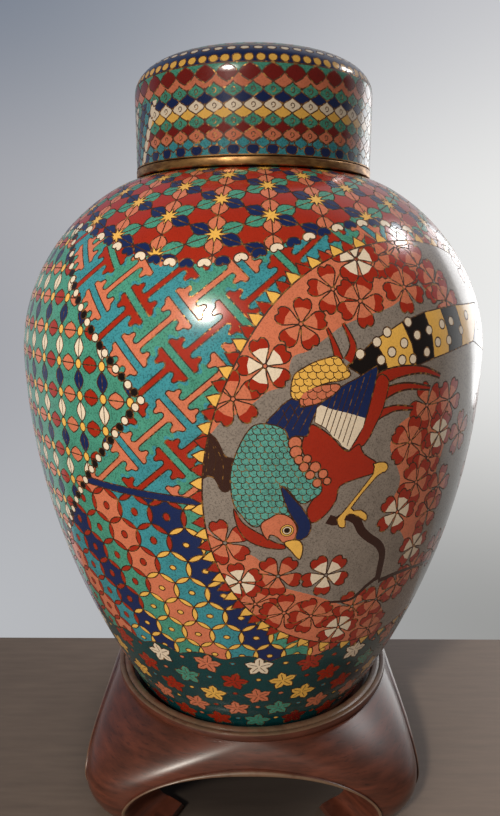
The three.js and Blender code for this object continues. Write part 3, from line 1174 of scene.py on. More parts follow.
def paintBlossom(sheet, centre, heart, zone, size, lean=0):
    petal, tip = mirrored(petalSide) * size, mirrored(petalEnd) * size
    for number in range(5):
        angle = lean + 72 * number
        sheet.put(centre, turnBy(petal, angle), heart, zone)
        inner = sheet.offset(sheet.outwards(sheet.about(centre, turnBy(tip, angle))), -pen["wire"] / 2)
        sheet.cell(inner, "red", zone, 0)


# Places of the picture, in pixels of the front view
blossoms = dict(
    coral=[(350, 240), (395, 246), (376, 256), (418, 266), (434, 282), (333, 289), (404, 287), (360, 301),
           (301, 324), (233, 399), (427, 405), (449, 400), (410, 442), (459, 432), (428, 458), (416, 482),
           (438, 486), (428, 510), (225, 543), (278, 576), (255, 604), (284, 613), (311, 616), (352, 606),
           (376, 599), (396, 584), (412, 568), (368, 628), (432, 548), (446, 300)],
    white=[(356, 259), (265, 366), (439, 433), (397, 512), (413, 546), (240, 582), (326, 575), (338, 627)],
)
coralGround = dict(
    upper=[(206, 434), (222, 421), (239, 413), (256, 401), (267, 392), (285, 384), (292, 358), (308, 351),
           (326, 338), (342, 326), (366, 316), (388, 308), (402, 298), (411, 284), (418, 264), (412, 242),
           (400, 226), (352, 230), (300, 256), (250, 306), (212, 370)],
    lower=[(200, 526), (216, 538), (230, 548), (247, 553), (262, 563), (275, 584), (292, 590), (308, 594),
           (331, 601), (348, 607), (363, 604), (374, 600), (382, 612), (370, 642), (340, 664),
           (280, 650), (226, 612), (196, 566)],
    right=[(398, 426), (413, 414), (428, 404), (444, 396), (450, 410), (445, 440), (436, 470), (429, 500),
           (421, 530), (409, 550), (402, 534), (392, 520), (392, 502), (400, 481), (396, 464), (390, 446)],
)
# Far side of the picture, out of the photo's sight: mm to the right and upwards from the roundel's middle
farSide = dict(
    ground=[(40, 78), (46, 67), (54, 56), (61, 46), (60, 34), (52, 24), (47, 12), (46, -10), (47, -30),
            (45, -50), (36, -76), (70, -70), (96, 0), (70, 66)],
    coral=[(44, 14), (74, 14), (50, 0), (66, 2), (44, -16), (73, -18), (50, -31), (64, -34), (40, -46),
           (48, 62), (69, 31), (36, 70)],
    white=[(60, 18), (60, -16), (55, -46)],
    tail=[[(38.5, 55.5), (28, 41), (37, 38), (45, 36), (53, 50)],
          [(53, 50), (45, 36), (58, 33), (72, 33), (64, 42)]],
    spots=[(37, 46), (45, 49), (47, 42), (57, 41)],
)
bird = dict(
    trunk=[(203, 434), (213, 436), (219, 444), (225, 456), (235, 460), (231, 472), (230, 489), (222, 491),
           (215, 479), (208, 476), (202, 475)],
    underBody=[(310, 425), (320, 428), (333, 438), (342, 448), (349, 451), (359, 444), (364, 454),
               (378, 464), (373, 473), (359, 478), (340, 486), (336, 500), (326, 514), (312, 523),
               (307, 509), (320, 489), (318, 472), (303, 453), (303, 439)],
    breast=[(257, 425), (270, 425), (284, 430), (289, 444), (293, 457), (303, 467), (318, 481), (321, 491),
            (312, 499), (301, 503), (290, 491), (283, 486), (286, 503), (291, 514), (275, 518), (264, 524),
            (253, 526), (242, 515), (234, 503), (231, 481), (233, 464), (241, 444), (249, 431)],
    throat=[(234, 509), (242, 522), (253, 530), (264, 536), (274, 542), (284, 545), (284, 549), (267, 548),
            (250, 542), (240, 532), (235, 519)],
    face=[(261, 524), (270, 518), (278, 514), (288, 516), (295, 523), (297, 531), (294, 539), (284, 543),
          (277, 537), (270, 535), (268, 540), (263, 534)],
    crest=[(281, 486), (288, 492), (295, 500), (303, 509), (309, 519), (311, 528), (307, 536), (300, 540),
           (295, 538), (298, 528), (293, 519), (288, 510), (284, 500)],
    eye=[(287, 530.5)],
    beak=[(284, 543), (292, 540), (300, 541), (303, 549), (300, 559), (296, 557), (291, 551)],
    coverts=[(266, 423), (275, 413), (286, 402), (298, 397), (301, 407), (314, 404), (321, 404), (315, 414),
             (310, 425), (307, 436), (295, 436), (289, 441), (284, 430), (274, 427)],
    quills=[(320, 404), (337, 389), (359, 377), (377, 366), (376, 380), (371, 399), (363, 427), (349, 450),
            (342, 446), (339, 441), (333, 437), (326, 428), (315, 422), (317, 408)],
    quillEnds=[(315, 422), (317, 408), (321, 405), (331, 409), (348, 413), (365, 418), (363, 427),
               (349, 450), (342, 446), (339, 441), (333, 437), (326, 428)],
    rump=[(292, 397), (292, 385), (295, 375), (303, 369), (314, 363), (326, 359), (337, 357), (345, 366),
          (350, 375), (340, 380), (328, 382), (317, 386), (306, 392), (299, 399)],
    rumpScales=[(300, 402), (303, 394), (314, 388), (328, 385), (339, 385), (337, 391), (320, 402),
                (309, 405), (303, 406)],
    flank=[(347, 450), (361, 425), (370, 402), (376, 380), (382, 374), (389, 380), (387, 394), (383, 408),
           (375, 426), (364, 445)],
    leg=[(373, 464), (385, 462), (388, 467), (385, 472), (377, 476), (351, 508), (361, 510), (367, 515),
         (365, 521), (357, 516), (349, 514), (345, 519), (345, 527), (339, 527), (337, 519), (343, 512),
         (373, 474)],
)
# Coral spots beside the breast: place, then radius in mm
breastSpots = [(295, 443, 2.3), (296, 452, 2.1), (299, 460, 1.6), (307, 459, 1.5), (304, 467, 1.7),
               (315, 467, 1.9), (310, 475, 1.6), (323, 474, 1.7), (317, 483, 1.6), (327, 481, 1.4)]
# Rings of the eye, from the outside in: radius in mm and colour
eyeRings = ((2.3, "yellow"), (1.6, "white"), (0.95, "black"))
# Scaly parts: colour, pitch in pixels and radius of a scale in mm
scales = dict(rump=("yellow", 8.5, 1.9), rumpScales=("coral", 9, 2.0), breast=("jade", 7.6, 1.65))
# Feather lines of the wing: ends of the edge they start from, ends of the edge they reach, shares between
covertLines = [(((272, 424), (286, 404)), ((304, 434), (318, 406)), (0.15, 0.4, 0.62, 0.85)),
               (((280, 428), (276, 414)), ((308, 412), (298, 400)), (0.3, 0.65))]
quillLines = [(((318, 424), (326, 400)), ((350, 448), (376, 370)), np.linspace(0.1, 0.9, 7))]
# Tapered feathers: thickness at the root in mm, then their places
plumes = [
    (5.2, [(370, 392), (382, 379), (395, 373), (410, 370), (425, 370), (440, 376)]),
    (4.8, [(368, 408), (380, 397), (392, 390), (408, 386), (430, 388)]),
    (4.0, [(363, 428), (373, 418), (384, 412), (396, 408), (413, 408)]),
    (2.4, [(339, 360), (336, 350), (332, 339), (327, 328)]),
    (2.8, [(348, 361), (353, 348), (350, 337), (343, 323)]),
]
# How far the bands of the tail bow, the cuts between them by their upper and lower ends, and the spots
tail = dict(
    bow=(3.0, 0.5),
    cuts=[((347, 366), (372, 385)), ((374, 340), (389, 375)), ((402, 322), (416, 366)),
          ((424, 312), (434, 358)), ((440, 308), (449, 352)), ((455, 305), (462, 346)),
          ((475, 302), (473, 341))],
    spot=1.7,
    spots=[(360, 354), (387, 332), (377, 342), (392, 352), (381, 360), (404, 343), (408, 322), (417, 335),
           (413, 359), (427, 352), (429, 330), (442, 324), (438, 342), (451, 321), (449, 340), (461, 330),
           (402, 360), (466, 315)],
)
branch = dict(
    bark=[[(205, 438), (209, 450), (206, 472)], [(210, 439), (216, 456), (213, 475)],
          [(215, 446), (223, 463), (222, 486)]],
    # thickness in mm, the share of it at the tip, and the places
    limbs=[(2.0, 0.5, [(377, 577), (366, 586), (354, 597), (344, 601), (330, 602)]),
           (2.2, 0.5, [(378, 581), (396, 573), (412, 567), (430, 560)]),
           (3.6, 0.8, [(328, 519), (336, 521), (346, 516), (356, 520), (361, 530), (368, 537), (378, 544),
                       (382, 553), (380, 566), (377, 580)])],
)
# One triangle of the ring round the picture
tooth = [(0, -0.48), (0.3, -0.4), (0.86, 0), (0.3, 0.4), (0, 0.48)]


def paintRoundel(sheet, withBird):
    r = roundel
    for number in range(r["beads"]):
        turn = (number + 0.5) / r["beads"] * 2 * np.pi
        local = turnBy(np.array(tooth) * r["bead"] + (r["radius"], 0), turn / degree)
        sheet.cell(roundelPoint(*local.T), ("yellow", "red")[number % 2])
    zone = sheet.zone("roundel", roundelOutline(r["radius"]), "grey")
    for patch in coralGround.values():
        sheet.cell(onJar(smooth(patch, 4)), "coral", zone, 0)
    sheet.cell(roundelPoint(*smooth(farSide["ground"], 4).T), "coral", zone, 0)
    for heart, places in blossoms.items():
        hidden = roundelPoint(*np.array(farSide[heart]).T)
        for number, place in enumerate(np.concatenate([onJar(places), hidden])):
            size = r["blossom"] - r["blossomStep"] * (number % 3)
            paintBlossom(sheet, place, heart, zone, size, 17 * number)
    drawBranches(sheet, zone)
    if withBird:
        drawBird(sheet, zone)
    rim = roundelOutline(r["radius"])
    sheet.line(np.concatenate([rim, rim[:1]]), anyZone, pen["wire"] * 1.2)


def drawBranches(sheet, zone):
    sheet.cell(onJar(smooth(bird["trunk"], 3)), "brown", zone)
    for path in branch["bark"]:
        sheet.line(onJar(smooth(path, 4, False)), zone, pen["wire"] * 0.7)
    for thickness, tip, path in branch["limbs"]:
        sheet.line(onJar(smooth(path, 4, False)), zone, thickness, "brown", tip)


# Overlapping scales inside an outline, row after row
def drawScales(sheet, zone, outline, colour, pitch, size):
    outline = np.asarray(outline, float)
    low, high = outline.min(0), outline.max(0)
    for row, y in enumerate(np.arange(high[1] + pitch, low[1] - pitch, -pitch * 0.8)):
        for x in np.arange(low[0] - pitch + (row % 2) * pitch / 2, high[0] + pitch, pitch):
            place = onJar([(x, y)])[0]
            sheet.put(place, oval(size, size, 9), colour, zone, pen["wire"] * 0.62)


# Feather lines across a part, each between the same share of two edges
def drawQuills(sheet, zone, lines):
    for first, last, shares in lines:
        for share in shares:
            low, high = (np.array(start) * (1 - share) + np.array(end) * share
                         for start, end in zip(first, last))
            sheet.line(onJar([low, (low + high) / 2, high]), zone, pen["wire"] * 0.7)


def drawBird(sheet, zone):
    def part(name, colour, steps=3):
        sheet.cell(onJar(smooth(bird[name], steps)), colour, zone)

    drawTail(sheet, zone)
    for thickness, path in plumes:
        places = onJar(smooth(path, 4, False))
        sheet.line(places, zone, thickness + 2 * pen["wire"], None, 0.35)
        sheet.line(places, zone, thickness, "red", 0.12)
    part("flank", "red", 2)
    part("underBody", "red")
    part("coverts", "navy")
    drawQuills(sheet, zone, covertLines)
    part("quills", "navy", 2)
    sheet.cell(onJar(bird["quillEnds"]), "white", zone, 0)
    drawQuills(sheet, zone, quillLines)
    part("throat", "red")
    part("leg", "yellow", 2)
    for name, (colour, pitch, size) in scales.items():
        outline = onJar(smooth(bird[name], 3))
        sheet.line(np.concatenate([outline, outline[:1]]), zone, pen["wire"] * 2)
        drawScales(sheet, sheet.zone(name, outline, colour), bird[name], colour, pitch, size)
    for *place, size in breastSpots:
        sheet.put(onJar([place])[0], oval(size, size, 12), "coral")
    for name, colour in (("face", "coral"), ("crest", "navy"), ("beak", "yellow")):
        sheet.cell(onJar(smooth(bird[name], 3)), colour)
    eye = onJar(bird["eye"])[0]
    for size, colour in eyeRings:
        sheet.put(eye, oval(size, size, 14), colour, anyZone, pen["wire"] * 0.7)


# Banded tail: black and yellow bands between its cuts, with white spots over them
def drawTail(sheet, zone):
    cuts = np.array(tail["cuts"], float)
    for number, (first, second) in enumerate(zip(cuts[:-1], cuts[1:])):
        outline = [first[0], second[0], second.mean(0) + tail["bow"], second[1], first[1],
                   first.mean(0) + tail["bow"]]
        sheet.cell(onJar(outline), ("black", "yellow")[number % 2], zone)
    for outline, colour in zip(farSide["tail"], ("black", "yellow")):
        sheet.cell(roundelPoint(*np.array(outline).T), colour, zone)
    for place in np.concatenate([onJar(tail["spots"]), roundelPoint(*np.array(farSide["spots"]).T)]):
        sheet.put(place, oval(tail["spot"], tail["spot"], 12), "white", zone)


# Everything on one half of the body
def paintHalf(withBird):
    left, right, h = half["left"], half["right"], hexes
    sheet = Sheet(body, left, right, jar["footBare"], body.length - jar["neckBare"], "turquoise")
    paintFret(sheet)
    across = np.linspace(left, right, 91)
    top = np.stack([across, h["top"] - h["fall"] * (across - h["topAngle"])], -1)
    under = foot["edge"] - foot["under"]
    hexZone = sheet.zone("hexes", np.array([top[0], top[-1], (right, under), (left, under)]), "green")
    paintHexes(sheet, hexZone)
    band = top[(across > h["bandLeft"]) & (across < h["bandRight"])]
    sheet.line(band, anyZone, h["band"] + 2 * pen["wire"])
    sheet.line(band, anyZone, h["band"], "navy")
    netZone = sheet.zone("net", netCorners(), "green")
    paintNet(sheet, netZone)
    paintBeads(sheet)
    edge = np.stack([across, shoulderEdge(across)], -1)
    upper = np.array([(right, sheet.high), (left, sheet.high)])
    shoulderZone = sheet.zone("shoulder", np.concatenate([edge, upper]), "red")
    paintShoulder(sheet, shoulderZone)
    paintShoulderEdge(sheet)
    waves = np.abs(np.sin((across - left) / 180 * np.pi * foot["waves"]))
    scallop = np.stack([across, foot["edge"] + foot["wave"] * waves], -1)
    footOutline = np.concatenate([scallop[::-1], [(left, sheet.low), (right, sheet.low)]])
    footZone = sheet.zone("foot", footOutline, "teal")
    sheet.line(scallop, anyZone)
    paintFoot(sheet, footZone)
    paintRoundel(sheet, withBird)
    print("half painted,", len(sheet.outlines), "outlines")
    return sheet


def buildHalf(side, turn, withBird):
    sheet = paintHalf(withBird)
    pieces = dict(ground="fret", hexes="hexes", net="net", shoulder="shoulder", foot="foot")
    names = {name: f"{pieces.get(name, 'picture')}_{side}" for name in sheet.zoneNames}
    sheet.build(names, "jar_enamel", enamels, turn)


buildHalf("front", 0, True)
buildHalf("back", 180, False)
print("body enamelled")


# Lid: rows of cells round the side, rings and petals on the top

lidRows = dict(
    left=-172,             # degrees, where the sheet is closed at the back
    start=0.4,             # mm along the profile; all heights below are over the rim band's lower edge
    low=3.4,
    # lower end, upper end and colour of the grounds, each drawn over the last one
    bands=((3.4, 9, "turquoise"), (9, 25, "darkRed"), (24, 31.2, "coral"), (31.2, 34.6, "green"),
           (34.6, 42.6, "navy")),
    count=44,              # cells round the patterned rows
    diamonds=38,
    dots=72,
    ovals=60,
    cellWide=7.0,
    cellTall=5.2,
    onion={25.6: "green", 20.5: "white", 15.4: "green", 10.6: "coral"},
    diamond={23.1: "navy", 18.0: "yellow", 13.0: "darkRed"},
    diamondWide=1.04,      # share of a cell
    drop=7.9,
    dropSize=(5.4, 4.4),
    club=5.6,
    clubSize=(4.6, 3.9),
    curl=1.05,
    redRow=31.2,
    redTall=6.2,
    edge=(34.2, 34.7),     # wire over the red row
    dotRow=36.2,
    dotSize=(1.75, 1.6),
    ovalRow=40.2,
    ovalSize=(1.75, 1.2),
)
lidPatch = dict(
    angle=-60,             # its lower right corner
    width=26,              # degrees
    lean=13,               # degrees to the right over the height below
    leanHeight=22,
    top=25.5,
    columns=6,
    firstColumn=1.5,
    columnPitch=4.9,
    rows=7,
    firstRow=2.5,
    rowPitch=3.9,
    stagger=1.9,
    petal=(5.6, 4.0),
    colours=("white", "turquoise", "navy", "green", "white"),
)
lidTop = dict(
    # outer and inner radius of the grounds
    rings=((44.2, 42.8, "grey"), (42.8, 34.5, "green"), (34.5, 33.4, "white"), (33.4, 23.5, "red"),
           (23.5, 22.2, "yellow"), (22.2, 1.6, "turquoise")),
    middle=1.6,
    corners=24,
)


# Length along the lid's profile at a height over the rim band's lower edge, or at a radius on its top
def lidAt(height):
    return np.interp(height + rimLow.z, cap.heights, cap.along)


def lidAtRadius(radius):
    return np.interp(-radius, -cap.radii, cap.along)


# Onion with round shoulders under a pointed top, and two diamonds: right halves, in widths and heights
onionSide = [(0, 0.5), (0.1, 0.36), (0.26, 0.24), (0.42, 0.12), (0.5, -0.04), (0.4, -0.2), (0.2, -0.34),
             (0, -0.5)]
diamondSide = [(0, -0.62), (0.5, 0), (0, 0.62)]
fullDiamondSide = [(0, -0.5), (0.32, -0.26), (0.5, 0), (0.32, 0.26), (0, 0.5)]


# Little curl of wire: an arc of nearly a full turn whose radius shrinks evenly
def curlPath(size):
    turn = np.linspace(-0.6, 1.25, 8) * np.pi
    radius = size * np.linspace(1, 0.45, 8)
    return wheel(turn, radius)


def bandOutline(sheet, low, high):
    across = np.linspace(sheet.left, sheet.right, 181)
    lower, upper = (np.stack([across, 0 * across + s], -1) for s in (low, high))
    return np.concatenate([lower, upper[::-1]])


# The same shape over and over round the lid, at a length along its profile
def ringOf(sheet, count, s, shape, colour, phase=0.0):
    for number in range(count):
        sheet.put((sheet.left + 360 / count * (number + phase), s), shape, colour)


def paintLidSide(sheet):
    rows = lidRows
    count, cell = rows["count"], (rows["cellWide"], rows["cellTall"])
    for low, high, colour in rows["bands"]:
        sheet.zone(f"band{colour}", bandOutline(sheet, lidAt(low), lidAt(high)), colour)
    for height, colour in rows["diamond"].items():
        shape = mirrored(diamondSide) * (cell[0] * rows["diamondWide"], cell[1])
        ringOf(sheet, count, lidAt(height), shape, colour, 0.5)
    drop = mirrored(onionSide) * rows["dropSize"]
    club = turnBy(bean(*rows["clubSize"], 0.3, 14), 180)
    for number in range(count):
        angle = sheet.left + 360 / count * number
        sheet.put((angle + 180 / count, lidAt(rows["drop"])), drop, "turquoise")
        sheet.put((angle, lidAt(rows["club"])), club, "navy")
    for height, colour in rows["onion"].items():
        for number in range(count):
            place = (sheet.left + 360 / count * number, lidAt(height))
            sheet.put(place, mirrored(onionSide) * cell, colour)
            sheet.stroke(place, curlPath(rows["curl"]), anyZone, pen["wire"] * 0.8)
    paintLidPatch(sheet)
    wide = 360 / rows["diamonds"] * sheet.perDegree(lidAt(rows["redRow"]))
    shape = mirrored(fullDiamondSide) * (wide, rows["redTall"])
    ringOf(sheet, rows["diamonds"], lidAt(rows["redRow"]), shape, "darkRed")
    edge = bandOutline(sheet, *(lidAt(height) for height in rows["edge"]))
    sheet.add(sheet.outwards(edge), anyZone, wireIndex)
    ringOf(sheet, rows["dots"], lidAt(rows["dotRow"]), oval(*rows["dotSize"], 12), "yellow")
    ringOf(sheet, rows["ovals"], lidAt(rows["ovalRow"]), oval(*rows["ovalSize"], 10), "white")


# Patch of leaning columns of petals, on the left side and on the opposite side
def paintLidPatch(sheet):
    p, bottom = lidPatch, lidRows["low"]
    petal = leaf(*p["petal"], 6, 65, 1.2)
    for turn in (0, 180):
        start, low, top = p["angle"] + turn, lidAt(bottom), lidAt(p["top"])
        corners = [(start, low), (start + p["lean"], top), (start + p["lean"] - p["width"], top),
                   (start - p["width"], low)]
        zone = sheet.zone(f"patch{turn}", corners, "navy")
        for column in range(p["columns"]):
            for row in range(p["rows"]):
                height = p["firstRow"] + row * p["rowPitch"] + p["stagger"] * (column % 2)
                lean = (height - bottom) * p["lean"] / p["leanHeight"]
                angle = start - p["firstColumn"] - column * p["columnPitch"] + lean
                sheet.put((angle, lidAt(height)), petal, p["colours"][column % 5], zone)


# Rings and radiating petals of the flat top: number, radius, shape, colour and shift of each ring
def paintLidTop(sheet):
    for outer, inner, colour in lidTop["rings"]:
        sheet.cell(bandOutline(sheet, lidAtRadius(outer), lidAtRadius(inner)), colour)
    for count, radius, shape, colour, phase in (
            (36, 39.6, leaf(5.8, 4.6, 6, 90, 1.2), "coral", 0),
            (36, 36.2, oval(1.0, 1.0, 8), "yellow", 0.5),
            (24, 29.8, leaf(6.6, 4.8, 6, 90), "navy", 0),
            (24, 26.0, star(1.9, 0.9, 5), "yellow", 0.5),
            (16, 14.4, leaf(12.0, 4.6, 8, 90, 1.3), "white", 0),
            (16, 8.2, leaf(8.0, 2.3, 6, 90, 1.3), "coral", 0.5)):
        ringOf(sheet, count, lidAtRadius(radius), shape, colour, phase)


def makeLid():
    rows, edge, corners = lidRows, lidAtRadius(lidTop["middle"]), lidTop["corners"]
    sheet = Sheet(cap, rows["left"], rows["left"] + 360, rows["start"], edge, "teal")
    paintLidSide(sheet)
    paintLidTop(sheet)
    print("lid painted,", len(sheet.outlines), "outlines")
    sheet.build({name: "lid_picture" for name in sheet.zoneNames}, "lid_enamel", lidEnamels)
    points, normals = cap.at(np.arange(corners) / corners * 360, np.full(corners, edge), pen["lift"])
    middle = np.array([[0, 0, cap.heights[-1] + pen["lift"]]])
    faces = [(i, (i + 1) % corners, corners) for i in range(corners)]
    yellow = lidEnamels[enamelNames.index("yellow")]
    newPiece("lid_middle", np.concatenate([points, middle]), faces, [yellow], None,
             np.concatenate([normals, [[0, 0, 1]]]))


makeLid()
print("lid enamelled")


# Stand

stand = dict(
    height=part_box("stand")[1].z / mm,
    ringLip=0.6,
    ringWidth=6.3,
    ringDepth=4,
    ringInset=2.3,        # of the neck under the ring
    recessDepth=6,
    deckThickness=6,
    apronDrop=3,          # side over the top of its arch
    archDrop=18,          # arch, then the curl and the toe at its end
    scrollDrop=7.5,
    scrollRun=7.5,
    toeRun=8,
    toeHeight=5.5,
    kneeSpread=8.5,       # widest place, over the end of the arch by the rise
    kneeRise=4,
    footTuck=7,
    cornerRadius=22,
    legFace=21,
    legThickness=20,
    apronThickness=8,
    beadHeight=1.6,
    beadWidth=3,
    ringClearance=1.6,    # between the jar and the ring
    seam=0.3,             # that the jar sits into the recess
    swellEase=2.5,        # powers of the curves
    tuckEase=1.6,
    squareEase=1.5,
    archEase=0.8,
    squareShare=0.84,     # share of the way to the knee over which the plan squares up
    legStart=20,          # degrees from the middle of a side, over which it thickens to a leg
    legFull=40,
    archSteps=28,         # grid lines of each part
    footSteps=24,
    beadSteps=8,
    faceSteps=14,
    edgeSteps=6,
    beadMost=0.4,         # share of the face that the bead takes at most
    rubbedBead=2,         # columns beside the bead's edges that aren't rubbed
    rubbedRing=(6, 21),   # columns of the ring moulding that are
    outerBead=0.2,        # radii and start of the ring's two beads, as shares of its width
    innerBead=0.24,
    innerStart=0.45,
    sheer=40,             # corners over this angle stay sharp
)


# Places of the stand that follow from its sizes, depths counted down from the ring's rim plane
def standPlaces(t):
    t["rim"] = t["height"] - t["ringLip"]
    seat = np.interp(jar["base"] + t["recessDepth"] - t["seam"], body.heights, body.radii)
    t["ringSeat"] = seat + t["ringClearance"]
    t["ringRadius"] = t["ringSeat"] + t["ringWidth"]
    t["deckUnderside"] = t["recessDepth"] + t["deckThickness"]
    t["archDepth"] = t["deckUnderside"] + t["apronDrop"]
    t["archWidest"] = t["archDepth"] + t["archDrop"]
    t["kneeDepth"] = t["archWidest"] - t["kneeRise"]
    t["kneeHalfWidth"] = t["ringRadius"] - t["ringInset"] + t["kneeSpread"]
    t["archHalfWidth"] = t["kneeHalfWidth"] - t["legFace"]


# Half width of the plan at a depth: swells from the neck under the ring to the knees, then draws in
def planHalfWidth(t, depth):
    neck = t["ringRadius"] - t["ringInset"]
    left = np.maximum(1 - (depth - t["ringDepth"]) / (t["kneeDepth"] - t["ringDepth"]), 0)
    swell = neck + t["kneeSpread"] * (1 - left ** t["swellEase"])
    below = np.maximum(depth - t["kneeDepth"], 0) / (t["rim"] - t["kneeDepth"])
    tucked = t["kneeHalfWidth"] - t["footTuck"] * below ** t["tuckEase"]
    return np.where(depth <= t["kneeDepth"], swell, tucked)


# Radius of the plan at an angle from the middle of a side: a circle that squares up with depth
def planRadius(t, angle, depth):
    width = planHalfWidth(t, depth)
    run = t["squareShare"] * (t["kneeDepth"] - t["ringDepth"])
    left = np.maximum(1 - (depth - t["ringDepth"]) / run, 0)
    corner = t["cornerRadius"] + (width - t["cornerRadius"]) * left ** t["squareEase"]
    centre = width - corner
    along = centre * (np.cos(angle) + np.sin(angle))
    rounded = along + np.sqrt(np.maximum(along ** 2 - 2 * centre ** 2 + corner ** 2, 0))
    return np.where(width * np.tan(angle) <= centre, width / np.cos(angle), rounded)


# Lower edge of half a side: the arch as a power of a sine, the curl as a quarter circle, then the toe
def archEdge(t):
    turn = np.linspace(0, np.pi / 2, t["archSteps"] + 1)
    across = t["archHalfWidth"] * np.sin(turn) ** t["archEase"]
    depth = t["archWidest"] - t["archDrop"] * np.cos(turn)
    share = np.linspace(0, 1, t["footSteps"] + 1)[1:]
    curl = np.minimum(share * 1.5, 1) * np.pi / 2
    toe = np.clip(share * 6 - 4, 0, 1)
    sole = np.clip(share * 6 - 5, 0, 1)
    footAcross = t["archHalfWidth"] - t["scrollRun"] * (1 - np.cos(curl)) - t["toeRun"] * toe
    footDepth = t["archWidest"] + t["scrollDrop"] * np.sin(curl) + t["toeHeight"] * sole
    return np.concatenate([across, footAcross]), np.concatenate([depth, footDepth])


# Far side of the same strip: along the ring to the corner, then down the corner to the floor
def farEdge(t, top):
    ringAngle = np.linspace(0, np.pi / 4, t["archSteps"] + 1)
    down = np.linspace(0, 1, t["footSteps"] + 1)[1:]
    angle = np.concatenate([ringAngle, np.full(len(down), np.pi / 4)])
    return angle, np.concatenate([np.full(len(ringAngle), top), top + (t["rim"] - top) * down])


# Point of the stand on side 0 to 3, mirrored or not
def standPoint(t, radius, angle, depth, side, mirror):
    turn = -np.pi / 2 + side * np.pi / 2 + mirror * angle
    return np.stack([radius * np.cos(turn), radius * np.sin(turn), t["rim"] - depth], -1)


# Half of one side: outer face with its half-round bead, inner face, the edges between them, then the ring
# moulding with the recess, and the underside, all over the same angles
def halfSide(t, side, mirror, add):
    def at(angle, depth, lift=0.0):
        return standPoint(t, planRadius(t, angle, depth) + lift, angle, depth, side, mirror)

    flip = mirror > 0
    across, depth = archEdge(t)
    lowAngle = np.arctan(across / planHalfWidth(t, depth))
    farAngle, farDepth = farEdge(t, t["ringDepth"])
    start, end = at(lowAngle, depth), at(farAngle, farDepth)
    bead = np.minimum(t["beadWidth"] / np.linalg.norm(start - end, axis=1), t["beadMost"])[:, None]
    away = np.concatenate([(1 - np.cos(np.linspace(0, np.pi, t["beadSteps"] + 1))) / 2,
                           np.ones(t["faceSteps"])])
    rest = np.concatenate([np.zeros(t["beadSteps"] + 1), np.linspace(0, 1, t["faceSteps"] + 1)[1:]])
    share = bead * away + (1 - bead) * rest
    lift = t["beadHeight"] * np.sqrt(np.maximum(1 - (2 * away - 1) ** 2, 0)) * (rest == 0)
    angle = lowAngle[:, None] + (farAngle - lowAngle)[:, None] * share
    deep = depth[:, None] + (farDepth - depth)[:, None] * share
    add(at(angle, deep, lift), flip, range(t["rubbedBead"], t["beadSteps"] - t["rubbedBead"]))
    _, inDepth = farEdge(t, t["deckUnderside"])
    backDeep = depth[:, None] + (inDepth - depth)[:, None] * share
    ease = np.clip((angle / degree - t["legStart"]) / (t["legFull"] - t["legStart"]), 0, 1)
    thickness = t["apronThickness"] + (t["legThickness"] - t["apronThickness"]) * ease ** 2 * (3 - 2 * ease)
    back = at(angle, backDeep, -thickness)
    add(back, not flip)
    edgeShare = np.linspace(0, 1, t["edgeSteps"])[:, None, None]
    add(start * (1 - edgeShare) + back[:, 0] * edgeShare, not flip)
    add(np.stack([at(angle[-1], deep[-1], lift), back[-1]]), not flip)
    ringAngle = np.linspace(0, np.pi / 4, t["archSteps"] + 1)[:, None]
    profile = ringProfile(t)
    neck = planRadius(t, ringAngle, t["ringDepth"] + 0 * ringAngle)
    radius = np.concatenate([neck, 0 * ringAngle + profile[:, 0]], 1)
    ringDeep = np.concatenate([0 * ringAngle + t["ringDepth"], 0 * ringAngle + profile[:, 1]], 1)
    ring = standPoint(t, radius, ringAngle + 0 * radius, ringDeep, side, mirror)
    add(ring, flip, range(*t["rubbedRing"]))
    under = back[:t["archSteps"] + 1, -1]
    add(np.stack([under, np.array([0, 0, t["rim"] - t["deckUnderside"]]) + 0 * under], 1), flip)


# Eight halves of a side, set round the middle and merged along their edges
def makeStand(t):
    standPlaces(t)
    corners, faces, rubbed = [], [], []

    # Adds a grid; the columns given as rubbed get the lighter wood
    def add(points, flip, rubbedColumns=()):
        quads = gridFaces(*points.shape[:2]) + sum(len(part) for part in corners)
        faces.append(quads[:, ::-1] if flip else quads)
        corners.append(points.reshape(-1, 3))
        columns = np.tile(np.arange(points.shape[1] - 1), points.shape[0] - 1)
        rubbed.append(np.isin(columns, rubbedColumns).astype(int))

    for side in range(4):
        for mirror in (1, -1):
            halfSide(t, side, mirror, add)
    piece = newPiece("carved_stand", np.concatenate(corners), np.concatenate(faces), [rosewood, rubbedWood],
                     np.concatenate(rubbed))
    closeUp(piece, t["sheer"])
    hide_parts("stand")


# Ring moulding of two rounded beads with a groove between, then the recess for the foot
def ringProfile(t):
    outer, width, lip, seat = t["ringRadius"], t["ringWidth"], t["ringLip"], t["ringSeat"]
    turn = np.linspace(0, np.pi, 9)
    beads = [(start - width * size * (1 - np.cos(a)), -lip * np.sin(a))
             for start, size in ((outer, t["outerBead"]), (outer - width * t["innerStart"], t["innerBead"]))
             for a in turn[1:]]
    deep = t["ringDepth"]
    skirt = [(outer - t["ringInset"] * 0.5, deep * 0.9), (outer - 0.3, deep * 0.7), (outer, deep * 0.45),
             (outer - 0.25, deep * 0.15), (outer - 0.6, 0)]
    recess = [(seat + 0.3, 0.3), (seat, deep * 0.3), (seat, t["recessDepth"]), (0, t["recessDepth"])]
    return np.array(skirt + beads + recess)


makeStand(stand)
print("stand carved")


# Floor and light

